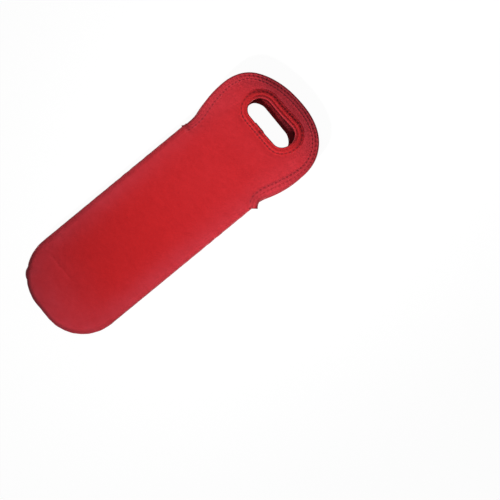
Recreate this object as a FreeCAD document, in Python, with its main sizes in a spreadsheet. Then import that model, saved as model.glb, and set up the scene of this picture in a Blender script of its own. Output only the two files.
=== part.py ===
import FreeCAD, Part
import math
import os
import Sketcher

# A soft single-bottle tote lying on its back. +X runs across it, +Y from its bottom seam to its
# handles and +Z up. The origin lies under the middle of its outline, on the surface it rests on.

# Driving dimensions in millimetres.
DIMENSIONS = [
    ("length", 420.0, "bottom seam to the end of the front handle"),
    ("body_width", 136.0, "pouch across its side seams"),
    ("pouch_thickness", 24.0, "pouch from back to front"),
    ("corner_radius", 57.0, "bottom corners of the pouch"),
    ("shoulder_round", 7.5, "rounding from the pouch's front into its sides"),
    ("seam_round", 2.5, "roll of the cloth into the side seam"),
    ("seam_allowance", 7.0, "turned-in width beside the seam"),
    ("overlock", 0.6, "thread over the raw edges of the allowance"),
    ("face_cloth", 0.5, "outer knit"),
    ("foam", 3.0, "foam core"),
    ("lining_cloth", 0.5, "inner knit"),
    ("handle_length", 129.0, "notch to the end of the front handle"),
    ("handle_flare", 9.7, "how far the handle stands out past the pouch on each side"),
    ("throat_step", 0.6, "how far the throat is drawn in on each side"),
    ("throat_lead", 7.0, "straight run from the notch to the throat's curve"),
    ("throat_round", 53.0, "hollow curve beside the throat"),
    ("crown_radius", 105.0, "curve of the handle's end"),
    ("widest_drop", 61.0, "end of the handle to its widest place"),
    ("handle_flat", 80.0, "flat middle of the handle, across"),
    ("throat_arch", 6.0, "drop of the handle's edges at the throat"),
    ("slot_arch", 3.0, "drop of the handle's edges below the slot"),
    ("end_arch", 0.8, "drop of the handle's edges at its end"),
    ("arch_length", 50.0, "notch to where the arch has mostly flattened"),
    ("slot_fall", 2.0, "fall of the front handle over that length"),
    ("handle_shift", 5.0, "back handle set nearer to the bottom than the front one"),
    ("handle_gap", 1.0, "room between the two handles at their ends"),
    ("floor_gap", 0.1, "room under the back handle's stitches"),
    ("joint_gap", 0.4, "room between pouch and handle at the fold"),
    ("slot_length", 72.2, "hand slot inside its binding, across"),
    ("slot_height", 30.8, "hand slot inside its binding, along the tote"),
    ("slot_corner", 13.0, "corners of the hand slot"),
    ("slot_drop", 30.6, "end of the handle to the hand slot"),
    ("tape_width", 10.0, "binding on each face"),
    ("tape_thickness", 0.9, "binding tape"),
    ("stitch_width", 4.2, "zigzag seam across"),
    ("stitch_margin", 1.0, "zigzag seam to the inner edge of the tape"),
    ("thread", 0.4, "seam thread standing on the tape"),
    ("thread_lift", 0.1, "room between a seam's thread and the tape"),
]


class Size:
    """A number together with the sheet expression that gives it."""

    def __init__(self, value, text):
        self.value = value
        self.text = text

    def __add__(self, other):
        other = sized(other)
        return Size(self.value + other.value, f"({self.text} + {other.text})")

    def __sub__(self, other):
        other = sized(other)
        return Size(self.value - other.value, f"({self.text} - {other.text})")

    def __mul__(self, other):
        other = sized(other)
        return Size(self.value * other.value, f"({self.text} * {other.text})")

    def __truediv__(self, other):
        other = sized(other)
        return Size(self.value / other.value, f"({self.text} / {other.text})")

    def __radd__(self, other):
        return sized(other) + self

    def __rsub__(self, other):
        return sized(other) - self

    def __rmul__(self, other):
        return sized(other) * self

    def __neg__(self):
        return 0 - self


def sized(number):
    """A plain number as a Size."""
    if isinstance(number, Size):
        return number
    return Size(float(number), str(number))


def root(size):
    """Square root of a Size."""
    return Size(math.sqrt(size.value), f"sqrt({size.text})")


def lesser(first, second):
    """The smaller of two Sizes."""
    return Size(min(first.value, second.value), f"min({first.text}; {second.text})")


doc = FreeCAD.newDocument("BottleCarrier")
sheet = doc.addObject("Spreadsheet::Sheet", "Sizes")
dimension = {}
for row, (alias, value, meaning) in enumerate(DIMENSIONS, start=1):
    sheet.set(f"A{row}", meaning)
    sheet.set(f"B{row}", str(value))
    sheet.setAlias(f"B{row}", alias)
    dimension[alias] = Size(value, f"Sizes.{alias}")
doc.recompute()


def dim(alias):
    """A driving dimension by its name."""
    return dimension[alias]


# Heights and places that follow from the driving dimensions.
wall = dim("face_cloth") + dim("foam") + dim("lining_cloth")
seam_z = dim("pouch_thickness") / 2
half_body = dim("body_width") / 2
bottom_y = -dim("length") / 2
throat_y = dim("length") / 2 - dim("handle_length")
half_handle = half_body + dim("handle_flare")
half_throat = half_body - dim("throat_step")
thread_seat = dim("tape_thickness") + dim("thread_lift")
trim = thread_seat + dim("thread")
back_face_z = dim("floor_gap") + trim
front_end_z = back_face_z + wall + trim + dim("handle_gap") + trim + wall
fillet_land = sized(0.3)
overshoot = sized(12.0)
below_all = -overshoot
above_all = dim("pouch_thickness") + overshoot


def pinned(sketch, kind, geometry, position, size):
    """Hold one point at a distance from the sketch's origin."""
    index = sketch.addConstraint(Sketcher.Constraint(kind, -1, 1, geometry, position, size.value))
    sketch.setExpression(f"Constraints[{index}]", size.text)


def draw(sketch, corners, arcs):
    """Draw a closed outline through its corners. arcs gives, by the index of the corner where an arc
    starts, its centre, its radius and whether it turns left."""
    joints = []
    for index, start in enumerate(corners):
        end = corners[(index + 1) % len(corners)]
        first = FreeCAD.Vector(start[0].value, start[1].value, 0)
        last = FreeCAD.Vector(end[0].value, end[1].value, 0)
        if index not in arcs:
            geometry = sketch.addGeometry(Part.LineSegment(first, last), False)
            joints.append((geometry, 1, 2))
            continue
        centre, radius, left = arcs[index]
        middle = FreeCAD.Vector(centre[0].value, centre[1].value, 0)
        circle = Part.Circle(middle, FreeCAD.Vector(0, 0, 1), radius.value)
        angles = [math.atan2(point.y - middle.y, point.x - middle.x) for point in (first, last)]
        if not left:
            angles.reverse()
        geometry = sketch.addGeometry(Part.ArcOfCircle(circle, angles[0], angles[1]), False)
        joints.append((geometry, 1, 2) if left else (geometry, 2, 1))
        held = sketch.addConstraint(Sketcher.Constraint("Radius", geometry, radius.value))
        sketch.setExpression(f"Constraints[{held}]", radius.text)
    for index, (geometry, start, end) in enumerate(joints):
        following, next_start, next_end = joints[(index + 1) % len(joints)]
        sketch.addConstraint(Sketcher.Constraint("Coincident", geometry, end, following, next_start))
        pinned(sketch, "DistanceX", geometry, start, corners[index][0])
        pinned(sketch, "DistanceY", geometry, start, corners[index][1])


def pouch_outline(inset, top):
    """The pouch seen from above: straight sides, round bottom corners, cut straight at its top."""
    radius = lesser(dim("corner_radius"), half_body - wall)
    across = half_body - radius
    level = bottom_y + radius
    side = half_body - inset
    corners = [
        (side, top),
        (-side, top),
        (-side, level),
        (-across, bottom_y + inset),
        (across, bottom_y + inset),
        (side, level),
    ]
    arcs = {
        2: ((-across, level), radius - inset, True),
        4: ((across, level), radius - inset, True),
    }
    return corners, arcs


def handle_outline(inset, end_y):
    """The handle seen from above: a round end, a full corner, a flare and a hollow throat."""
    crown = dim("crown_radius")
    drop = dim("widest_drop")
    corner = (2 * crown * drop - drop * drop - half_handle * half_handle) / (2 * (crown - half_handle))
    corner_x = half_handle - corner
    widest_y = end_y - drop
    lean_x = corner_x / (crown - corner)
    lean_y = (crown - drop) / (crown - corner)
    hollow_y = end_y - dim("handle_length") + dim("throat_lead")
    run = widest_y - hollow_y
    slant = (half_handle - half_throat) / run
    turn_sin = 2 * slant / (1 + slant * slant)
    turn_cos = (1 - slant * slant) / (1 + slant * slant)
    hollow = dim("throat_round")
    flare = run / turn_sin - hollow
    flare_x = half_handle - flare
    hollow_x = half_throat + hollow
    crown_x = (crown - inset) * lean_x
    crown_y = end_y - crown + (crown - inset) * lean_y
    turn_x = flare_x + (flare - inset) * turn_cos
    turn_y = widest_y - (flare - inset) * turn_sin
    foot_y = throat_y - 3 * dim("tape_width")
    right = [
        (half_throat - inset, foot_y),
        (half_throat - inset, hollow_y),
        (turn_x, turn_y),
        (half_handle - inset, widest_y),
        (crown_x, crown_y),
    ]
    left = [(-x, y) for x, y in reversed(right)]
    arcs = {
        1: ((hollow_x, hollow_y), hollow + inset, False),
        2: ((flare_x, widest_y), flare - inset, True),
        3: ((corner_x, widest_y), corner - inset, True),
        4: ((sized(0), end_y - crown), crown - inset, True),
        5: ((-corner_x, widest_y), corner - inset, True),
        6: ((-flare_x, widest_y), flare - inset, True),
        7: ((-hollow_x, hollow_y), hollow + inset, False),
    }
    return right + left, arcs


def slot_outline(outset, end_y):
    """The hand slot seen from above."""
    middle_y = end_y - dim("slot_drop") - dim("slot_height") / 2
    across = dim("slot_length") / 2 + outset
    along = dim("slot_height") / 2 + outset
    radius = lesser(dim("slot_corner"), dim("slot_height") / 2 - fillet_land) + outset
    straight_x = across - radius
    straight_y = along - radius
    corners = [
        (across, middle_y - straight_y),
        (across, middle_y + straight_y),
        (straight_x, middle_y + along),
        (-straight_x, middle_y + along),
        (-across, middle_y + straight_y),
        (-across, middle_y - straight_y),
        (-straight_x, middle_y - along),
        (straight_x, middle_y - along),
    ]
    arcs = {
        1: ((straight_x, middle_y + straight_y), radius, True),
        3: ((-straight_x, middle_y + straight_y), radius, True),
        5: ((-straight_x, middle_y - straight_y), radius, True),
        7: ((straight_x, middle_y - straight_y), radius, True),
    }
    return corners, arcs


def arch_outline(crown_z, edge_x, drop, above, below, side):
    """A cut across the handle, side +1 where it arches up and -1 where it arches down. above and below
    measure the layer from the panel's outer face, along the outward direction."""
    flat = dim("handle_flat") / 2
    across = edge_x - flat
    radius = (across * across + drop * drop) / (2 * drop)
    reach = across + 2 * dim("tape_thickness")
    fall = radius - root(radius * radius - reach * reach)
    outer_z = crown_z + side * above
    inner_z = crown_z - side * below
    far_x = flat + reach
    corners = [
        (far_x, outer_z - side * fall),
        (flat, outer_z),
        (-flat, outer_z),
        (-far_x, outer_z - side * fall),
        (-far_x, inner_z - side * fall),
        (-flat, inner_z),
        (flat, inner_z),
        (far_x, inner_z - side * fall),
    ]
    left = side > 0
    arcs = {
        0: ((flat, outer_z - side * radius), radius, left),
        2: ((-flat, outer_z - side * radius), radius, left),
        4: ((-flat, inner_z - side * radius), radius, not left),
        6: ((flat, inner_z - side * radius), radius, not left),
    }
    return corners, arcs


def prism(name, outline, low, high):
    """An upright block of the given outline between two heights."""
    sketch = doc.addObject("Sketcher::SketchObject", name + "_outline")
    sketch.setExpression("Placement.Base.z", low.text)
    draw(sketch, *outline)
    block = doc.addObject("Part::Extrusion", name)
    block.Base = sketch
    block.DirMode = "Custom"
    block.Dir = FreeCAD.Vector(0, 0, 1)
    block.Solid = True
    block.setExpression("LengthFwd", (high - low).text)
    return block


def cut(name, base, tool):
    """One piece less another."""
    result = doc.addObject("Part::Cut", name)
    result.Base = base
    result.Tool = tool
    return result


def common(name, base, tool):
    """What two pieces share."""
    result = doc.addObject("Part::Common", name)
    result.Base = base
    result.Tool = tool
    return result


def pillow(name, inset, top, seam_radius):
    """Half of the stuffed pouch above the seam, drawn in on all sides by the inset."""
    height = seam_z - 2 * inset
    body = doc.addObject("PartDesign::Body", name)
    plane = next(item for item in body.Origin.OriginFeatures if item.Role == "XY_Plane")
    sketch = body.newObject("Sketcher::SketchObject", name + "_outline")
    sketch.AttachmentSupport = [(plane, "")]
    sketch.MapMode = "FlatFace"
    sketch.setExpression("AttachmentOffset.Base.z", (seam_z + inset).text)
    draw(sketch, *pouch_outline(inset, top))
    pad = body.newObject("PartDesign::Pad", name + "_pad")
    pad.Profile = sketch
    pad.setExpression("Length", height.text)
    doc.recompute()
    shoulder_room = height - fillet_land
    if seam_radius is not None:
        shoulder_room = shoulder_room - seam_radius
    shoulder = lesser(dim("shoulder_round") - inset, shoulder_room)
    rounded(body, pad, name + "_shoulder", shoulder, (seam_z + inset + height).value, top.value)
    if seam_radius is not None:
        rounded(body, body.Tip, name + "_seam", seam_radius, (seam_z + inset).value, top.value)
    return body


def rounded(body, base, name, radius, level, top):
    """Round the edges that lie at one level, all but the straight one at the pouch's mouth."""
    near = 0.01
    names = []
    for index, edge in enumerate(base.Shape.Edges, start=1):
        box = edge.BoundBox
        if abs(box.ZMin - level) < near and abs(box.ZMax - level) < near and box.YMin < top - near:
            names.append(f"Edge{index}")
    fillet = body.newObject("PartDesign::Fillet", name)
    fillet.Base = (base, names)
    fillet.setExpression("Radius", radius.text)
    doc.recompute()


def pouch_walls():
    """Front wall in three layers with its turned-in allowance, and the back wall as its mirror image."""
    past_throat = throat_y + overshoot
    foam_inset = dim("face_cloth")
    lining_inset = dim("face_cloth") + dim("foam")
    shells = [
        pillow("PouchOuter", sized(0), throat_y, dim("seam_round")),
        pillow("PouchFoam", foam_inset, past_throat, dim("seam_round") - foam_inset),
        pillow("PouchLining", lining_inset, past_throat, None),
        pillow("PouchHollow", wall, past_throat, None),
    ]
    allowance = pouch_outline(wall + dim("seam_allowance"), past_throat)
    window = prism("SeamWindow", allowance, seam_z - wall, seam_z + wall + dim("overlock"))
    pieces = []
    mouth = throat_block("MouthSide", throat_y)
    for index, layer in enumerate(("face", "foam", "lining")):
        outer = shells[index]
        if index > 0:
            outer = common(f"Front{layer}Blank", shells[index], mouth)
        shell = cut(f"Front{layer}Shell", outer, shells[index + 1])
        front = cut(f"front_wall_{layer}", shell, window)
        back = doc.addObject("Part::Mirroring", f"back_wall_{layer}")
        back.Source = front
        back.Normal = FreeCAD.Vector(0, 0, 1)
        back.setExpression("Base.z", seam_z.text)
        pieces += [front, back]
    return pieces


def throat_block(name, level):
    """Everything on the pouch's side of a level along the tote."""
    block = doc.addObject("Part::Box", name)
    block.setExpression("Length", (4 * half_body).text)
    block.setExpression("Width", dim("length").text)
    block.setExpression("Height", (above_all - below_all).text)
    block.setExpression("Placement.Base.x", (-2 * half_body).text)
    block.setExpression("Placement.Base.y", (level - dim("length")).text)
    block.setExpression("Placement.Base.z", below_all.text)
    return block


def seam_overlock():
    """Thread wrapped over the raw edges of both allowances, round the sides and bottom."""
    outer_inset = wall + dim("seam_allowance")
    outer = pouch_outline(outer_inset, throat_y)
    inner = pouch_outline(outer_inset + dim("overlock"), throat_y + overshoot)
    thread_strip = prism("OverlockOuter", outer, seam_z - wall, seam_z + wall)
    hollow = prism("OverlockInner", inner, seam_z - wall, seam_z + wall)
    return [cut("seam_overlock_thread", thread_strip, hollow)]


def handle_layer(name, above, below, stations, side):
    """One layer of a handle, as a ruled sheet through its cuts."""
    sections = []
    for index, (station_y, crown_z, edge_x, drop) in enumerate(stations):
        sketch = doc.addObject("Sketcher::SketchObject", f"{name}_cut{index}")
        sketch.Placement = FreeCAD.Placement(FreeCAD.Vector(), FreeCAD.Rotation(FreeCAD.Vector(1, 0, 0), 90))
        sketch.setExpression("Placement.Base.y", station_y.text)
        draw(sketch, *arch_outline(crown_z, edge_x, drop, above, below, side))
        sections.append(sketch)
    loft = doc.addObject("Part::Loft", name)
    loft.Sections = sections
    loft.Solid = True
    loft.Ruled = True
    return loft


def band(name, outer, inner, block):
    """An upright ring between two blocks, cut off at the throat where a block is given."""
    ring = cut(name + "Ring", outer, inner)
    if block is None:
        return ring
    return cut(name, ring, block)


def handle(side_name, side, end_y, stations):
    """One handle: three layers, two bindings and the needle and bobbin threads of their seams."""
    title = side_name.capitalize()
    tape = dim("tape_thickness")
    width = dim("tape_width")
    seam_inner = width - dim("stitch_margin")
    seam_outer = seam_inner - dim("stitch_width")
    block = throat_block(title + "Pouch", throat_y + dim("joint_gap"))
    edge = {}
    slot = {}
    for place, inset in (("Rim", sized(0)), ("Panel", tape), ("SeamOuter", seam_outer),
                         ("SeamInner", seam_inner), ("Tape", width)):
        edge[place] = prism(f"{title}Edge{place}", handle_outline(inset, end_y), below_all, above_all)
        slot[place] = prism(f"{title}Slot{place}", slot_outline(inset, end_y), below_all, above_all)
    panel = band(title + "Panel", edge["Panel"], slot["Panel"], block)
    regions = {
        "edge": (band(title + "EdgeTape", edge["Rim"], edge["Tape"], block),
                 band(title + "EdgeSeam", edge["SeamOuter"], edge["SeamInner"], block)),
        "slot": (band(title + "SlotTape", slot["Tape"], slot["Rim"], None),
                 band(title + "SlotSeam", slot["SeamInner"], slot["SeamOuter"], None)),
    }

    def layer(name, above, below):
        return handle_layer(title + name, above, below, stations, side)

    nothing = sized(0)
    face = dim("face_cloth")
    core = face + dim("foam")
    pieces = []
    for name, top, bottom in (("face", nothing, face), ("foam", face, core), ("lining", core, wall)):
        sheet_layer = layer(name.capitalize(), -top, bottom)
        pieces.append(common(f"{side_name}_handle_{name}", sheet_layer, panel))
    blank = common(title + "Blank", layer("Whole", nothing, wall), panel)
    tape_sheet = layer("TapeSheet", tape, wall + tape)
    needle_sheet = layer("NeedleSheet", trim, -thread_seat)
    bobbin_sheet = layer("BobbinSheet", -(wall + thread_seat), wall + trim)
    for place, (tape_region, seam_region) in regions.items():
        folded = common(f"{title}{place}Folded", tape_sheet, tape_region)
        pieces.append(cut(f"{side_name}_{place}_binding", folded, blank))
        pieces.append(common(f"{side_name}_{place}_needle_thread", needle_sheet, seam_region))
        pieces.append(common(f"{side_name}_{place}_bobbin_thread", bobbin_sheet, seam_region))
    return pieces


def front_handle():
    """The handle on top, which falls from the pouch's front to the back handle."""
    end_y = dim("length") / 2
    slot_z = dim("pouch_thickness") - dim("slot_fall")
    stations = [
        (throat_y, dim("pouch_thickness"), half_throat, dim("throat_arch")),
        (throat_y + dim("arch_length"), slot_z, half_handle, dim("slot_arch")),
        (end_y + dim("tape_thickness"), front_end_z, half_handle, dim("end_arch")),
    ]
    return handle("front", 1, end_y, stations)


def back_handle():
    """The handle underneath, which lies on the floor."""
    end_y = dim("length") / 2 - dim("handle_shift")
    stations = [
        (throat_y, sized(0), half_throat, dim("throat_arch")),
        (throat_y + dim("arch_length"), back_face_z, half_handle, dim("slot_arch")),
        (end_y + dim("tape_thickness"), back_face_z, half_handle, dim("end_arch")),
    ]
    return handle("back", -1, end_y, stations)


nodes = pouch_walls() + seam_overlock() + front_handle() + back_handle()
doc.recompute()

for item in doc.Objects:
    if "Invalid" in item.State or "Error" in item.State:
        raise RuntimeError(f"{item.Name} failed: {item.State}")
for node in nodes:
    if node.Shape.isNull() or not node.Shape.isValid():
        raise RuntimeError(f"{node.Label} has no valid shape")

os.makedirs("parts", exist_ok=True)
for node in nodes:
    node.Shape.exportStep(f"parts/{node.Label}.step")
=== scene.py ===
import math

import bpy
import numpy as np
from mathutils import Matrix, Vector, geometry, kdtree


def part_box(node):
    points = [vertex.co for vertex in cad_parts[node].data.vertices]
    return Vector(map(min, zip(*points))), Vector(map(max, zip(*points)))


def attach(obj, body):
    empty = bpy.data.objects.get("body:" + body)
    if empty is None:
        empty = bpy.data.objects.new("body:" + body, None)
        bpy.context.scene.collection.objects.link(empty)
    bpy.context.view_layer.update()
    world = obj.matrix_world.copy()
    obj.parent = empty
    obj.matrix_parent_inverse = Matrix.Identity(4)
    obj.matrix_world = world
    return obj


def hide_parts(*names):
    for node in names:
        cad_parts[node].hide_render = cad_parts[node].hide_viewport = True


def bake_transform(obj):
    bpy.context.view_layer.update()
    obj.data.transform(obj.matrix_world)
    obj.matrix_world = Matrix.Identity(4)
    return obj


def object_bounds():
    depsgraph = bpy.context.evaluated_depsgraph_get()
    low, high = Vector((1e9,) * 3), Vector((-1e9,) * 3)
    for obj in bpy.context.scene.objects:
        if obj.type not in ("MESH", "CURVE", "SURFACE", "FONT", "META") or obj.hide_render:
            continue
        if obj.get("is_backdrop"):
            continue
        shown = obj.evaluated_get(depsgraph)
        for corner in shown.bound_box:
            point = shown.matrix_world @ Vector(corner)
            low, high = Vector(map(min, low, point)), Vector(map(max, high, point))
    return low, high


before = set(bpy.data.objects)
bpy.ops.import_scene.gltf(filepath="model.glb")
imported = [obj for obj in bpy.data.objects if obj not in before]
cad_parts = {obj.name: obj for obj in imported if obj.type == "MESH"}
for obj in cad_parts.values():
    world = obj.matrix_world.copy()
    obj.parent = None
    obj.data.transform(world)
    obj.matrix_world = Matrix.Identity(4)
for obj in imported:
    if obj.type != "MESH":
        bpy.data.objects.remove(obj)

bl_info = {
    "name": "Bottle Carrier",
    "version": (1, 0, 0),
    "blender": (4, 5, 0),
    "location": "View3D > Sidebar > Carrier",
    "description": "Dresses a soft single-bottle carrier with knit panels, bound edges and stitches",
    "category": "Object",
}

MM = 0.001
CAD_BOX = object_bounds()
POUCH_LOW, POUCH_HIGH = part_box("front_wall_face")
EDGE_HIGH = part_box("front_edge_binding")[1]
BACK_EDGE_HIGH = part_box("back_edge_binding")[1]
SLOT_LOW, SLOT_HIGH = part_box("front_slot_binding")
SIDES = ("front", "back")


def distance(name, description, default):
    """A length that the user can change."""
    return bpy.props.FloatProperty(
        name=name, description=description, default=default, unit="LENGTH", precision=5
    )


def distances(name, description, default):
    """A pair of lengths that the user can change."""
    return bpy.props.FloatVectorProperty(
        name=name, description=description, default=default, size=2, unit="LENGTH", precision=5
    )


def srgb(red, green, blue):
    """A colour given as screen values from 0 to 255, in linear light."""
    shares = [value / 255.0 for value in (red, green, blue)]
    return tuple(s / 12.92 if s <= 0.04045 else ((s + 0.055) / 1.055) ** 2.4 for s in shares)


def colour(name, description, default):
    """A colour that the user can change."""
    return bpy.props.FloatVectorProperty(
        name=name, description=description, default=default, size=3, min=0.0, max=1.0, subtype="COLOR"
    )


class CarrierSizes(bpy.types.PropertyGroup):
    """Sizes of the carrier, in metres."""

    half_body: distance("Half body", "Middle of the pouch to its side seam", POUCH_HIGH.x)
    bottom: distance("Bottom", "Place of the bottom seam along the carrier", POUCH_LOW.y)
    throat: distance("Throat", "Place of the notches along the carrier", POUCH_HIGH.y)
    seam_height: distance("Seam height", "Height of the side seam above the floor", POUCH_LOW.z)
    swell: distance("Swell", "Side seam to the middle of a wall", POUCH_HIGH.z - POUCH_LOW.z)
    corner_radius: distance("Corner radius", "Bottom corners of the pouch", 57 * MM)
    front_shoulder: distance("Front shoulder", "Rounding of the front wall into its sides", 9 * MM)
    back_shoulder: distance("Back shoulder", "Rounding of the back wall into its sides", 12 * MM)
    shoulder_rise: distance("Shoulder rise", "Side seam to the top of the front shoulder", 9.2 * MM)
    seam_roll: distance("Seam roll", "Roll of the cloth into the side seam", 2.5 * MM)
    allowance: distance("Allowance", "Side seam to the raw edges inside", 11 * MM)
    wall: distance("Wall", "Thickness of the laminate", 4 * MM)
    knit: distance("Knit", "Thickness of the outer and inner knit", 0.5 * MM)
    front_end: distance("Front end", "End of the front handle along the carrier", EDGE_HIGH.y)
    back_end: distance("Back end", "End of the back handle along the carrier", BACK_EDGE_HIGH.y)
    half_handle: distance("Half handle", "Middle of the handle to its widest place", EDGE_HIGH.x)
    throat_step: distance("Throat step", "How far the throat is drawn in on each side", 0.6 * MM)
    throat_lead: distance("Throat lead", "Notch to the start of the throat's curve", 7 * MM)
    throat_round: distance("Throat round", "Hollow curve beside the throat", 53 * MM)
    crown_radius: distance("Crown radius", "Curve of the handle's end", 105 * MM)
    widest_drop: distance("Widest drop", "End of the handle to its widest place", 61 * MM)
    handle_flat: distance("Handle flat", "Half of the handle's flat middle", 40 * MM)
    arch_length: distance("Arch length", "Notch to where the handle's arch has flattened", 50 * MM)
    front_fall: distance("Front fall", "Height of the front handle's end above the seam", 1.3 * MM)
    back_lift: distance("Back lift", "Back handle's face above the floor", 1.5 * MM)
    slot_corner: distance("Slot corner", "Corners of the hand slot towards the pouch", 13 * MM)
    slot_far_corner: distance("Slot far corner", "Its corners towards the handle's end", 16.5 * MM)
    slot_drop: distance("Slot drop", "End of the handle to its slot", 30.6 * MM)
    tape_width: distance("Tape width", "Binding on each face", 10 * MM)
    tape_thickness: distance("Tape thickness", "Binding tape", 0.9 * MM)
    edge_rows: distances("Edge needle rows", "Rim to the rows of needle holes", (3.7 * MM, 8.3 * MM))
    slot_rows: distances("Slot needle rows", "The same along the hand slot", (2.2 * MM, 8.0 * MM))
    fold_radius: distance("Fold radius", "Round of the binding's fold in plan", 2.6 * MM)
    tuck: distance("Tuck", "Rim of the fold to the panel's edge inside it", 2.0 * MM)
    lap: distance("Lap", "Overlap of the slot's binding", 15 * MM)
    edge_pitch: distance("Edge stitch pitch", "Needle hole to the next one in its row", 5.4 * MM)
    slot_pitch: distance("Slot stitch pitch", "The same along the hand slot", 4.8 * MM)
    thread: distance("Thread", "Diameter of the sewing thread", 0.4 * MM)
    ear_radius: distance("Ear radius", "Bend of the binding's end at the right notch", 11 * MM)
    cloth_step: distance("Cloth step", "Spacing of the panels' points", 3 * MM)


class CarrierColours(bpy.types.PropertyGroup):
    """Colours of the carrier and its stage."""

    face: colour("Face knit", "Outer knit", srgb(205, 37, 39))
    face_shade: colour("Face knit shade", "Darker loops of the outer knit", srgb(186, 29, 35))
    # Painted sheen colour: the pale haze that grazing light gives the knit's fuzz, on the edges and the
    # handle
    face_rubbed: colour("Face knit rubbed", "Outer knit worn pale along its edges", srgb(198, 63, 76))
    # Painted shade colour of the outer knit, for its folds, the bottom rim and the valley between the
    # bindings
    fold: colour("Fold", "Outer knit in the shade of a fold", srgb(98, 30, 37))
    lining: colour("Lining", "Inner knit", srgb(140, 22, 30))
    foam: colour("Foam", "Foam core", srgb(40, 40, 42))
    tape: colour("Tape", "Binding tape", srgb(202, 41, 46))
    # Painted shade colour of the tape: in its needle holes and furrows, at its folds and cut ends, and
    # where it lies away from the light
    hole: colour("Needle hole", "Tape drawn in at a needle hole", srgb(108, 28, 36))
    thread: colour("Thread", "Sewing thread", srgb(198, 40, 47))
    floor: colour("Floor", "Floor under the carrier", (0.9, 0.9, 0.9))


def sizes_in(context):
    """The scene's sizes."""
    return context.scene.carrier_sizes


def smooth(low, high, value):
    """0 below low, 1 above high and an even S between them."""
    share = np.clip((value - low) / (high - low), 0.0, 1.0)
    return share * share * (3.0 - 2.0 * share)


def fade(low, high, value):
    """1 below low, 0 above high and an even S between them."""
    return 1.0 - smooth(low, high, value)


def between(value, rise, fall):
    """1 on a stretch, with an even S up to it and an even S down from it."""
    return smooth(*rise, value) * fade(*fall, value)


def hump(value, middle, width):
    """1 at the middle and falling off evenly to both sides."""
    return np.exp(-(((value - middle) / width) ** 2))


# Plan lines

FINE = 0.25 * MM


def run(start, end):
    """Points on a straight line."""
    count = max(2, int(math.dist(start, end) / FINE) + 1)
    return np.linspace(start, end, count)


def arc(centre, radius, first, last):
    """Points on an arc between two angles."""
    count = max(2, int(abs(last - first) * radius / FINE) + 1)
    angles = np.linspace(first, last, count)
    return np.column_stack([centre[0] + radius * np.cos(angles), centre[1] + radius * np.sin(angles)])


class Rim:
    """A line in plan that gives places by length along it and inset to its left."""

    def __init__(self, stretches, closed=False):
        points = np.concatenate(stretches)
        steps = np.linalg.norm(np.diff(points, axis=0), axis=1)
        points = points[np.r_[True, steps > FINE * 0.01]]
        if closed:
            points = np.vstack([points, points[:1]])
        self.closed = closed
        self.points = points
        self.lengths = np.r_[0.0, np.cumsum(np.linalg.norm(np.diff(points, axis=0), axis=1))]
        tangents = np.gradient(points, axis=0)
        if closed:
            tangents[0] = tangents[-1] = points[1] - points[-2]
        tangents /= np.linalg.norm(tangents, axis=1)[:, None]
        self.inward = np.column_stack([-tangents[:, 1], tangents[:, 0]])

    @property
    def length(self):
        """Length of the whole line."""
        return self.lengths[-1]

    def wrapped(self, lengths):
        """Lengths counted on from the start again where the line closes."""
        return np.mod(lengths, self.length) if self.closed else lengths

    def sample(self, lengths, rows):
        """The line's points or inward directions at the given lengths."""
        lengths = self.wrapped(lengths)
        columns = [np.interp(lengths, self.lengths, rows[:, k]) for k in range(2)]
        return np.stack(columns, axis=-1)

    def across_along(self, lengths):
        """Both coordinates of the line at the given lengths."""
        return np.moveaxis(self.sample(lengths, self.points), -1, 0)

    def at(self, lengths, inset):
        """Places at the given lengths and insets."""
        lengths, inset = np.broadcast_arrays(lengths, inset)
        return self.sample(lengths, self.points) + self.sample(lengths, self.inward) * inset[..., None]

    def moved(self, inset):
        """The line drawn in by one inset or by an inset at each of its points."""
        return self.points + self.inward * np.reshape(inset, (-1, 1))

    def even(self, inset, pitch):
        """Lengths whose places on the line drawn in by an inset lie one pitch apart."""
        line = self.moved(inset)
        along = np.r_[0.0, np.cumsum(np.linalg.norm(np.diff(line, axis=0), axis=1))]
        count = max(1, round(along[-1] / pitch))
        return np.interp(np.linspace(0.0, along[-1], count + 1), along, self.lengths)


# How the soft walls lie: marks of their packing, the turn from pouch to handle, the drooping end

PACKING_LINE = -155.5 * MM
PACKING_RIDGE = (-52 * MM, -2 * MM)
PACKING_ROWS = np.array([-2.4, -1.2, 0.0, 1.2, 2.4]) * MM
PACKING_WIDTH = 1.6 * MM
PACKING_DENT = (44 * MM, 46 * MM)
HANDLE_LEAD = 13 * MM
HANDLE_RUN = 31 * MM
DROOP_LEAD = 14 * MM
ASKEW_FROM = 45 * MM
ASKEW_TO = 95 * MM
ASKEW_RIGHT = 3.5 * MM
ASKEW_LEFT = 2.2 * MM


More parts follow.
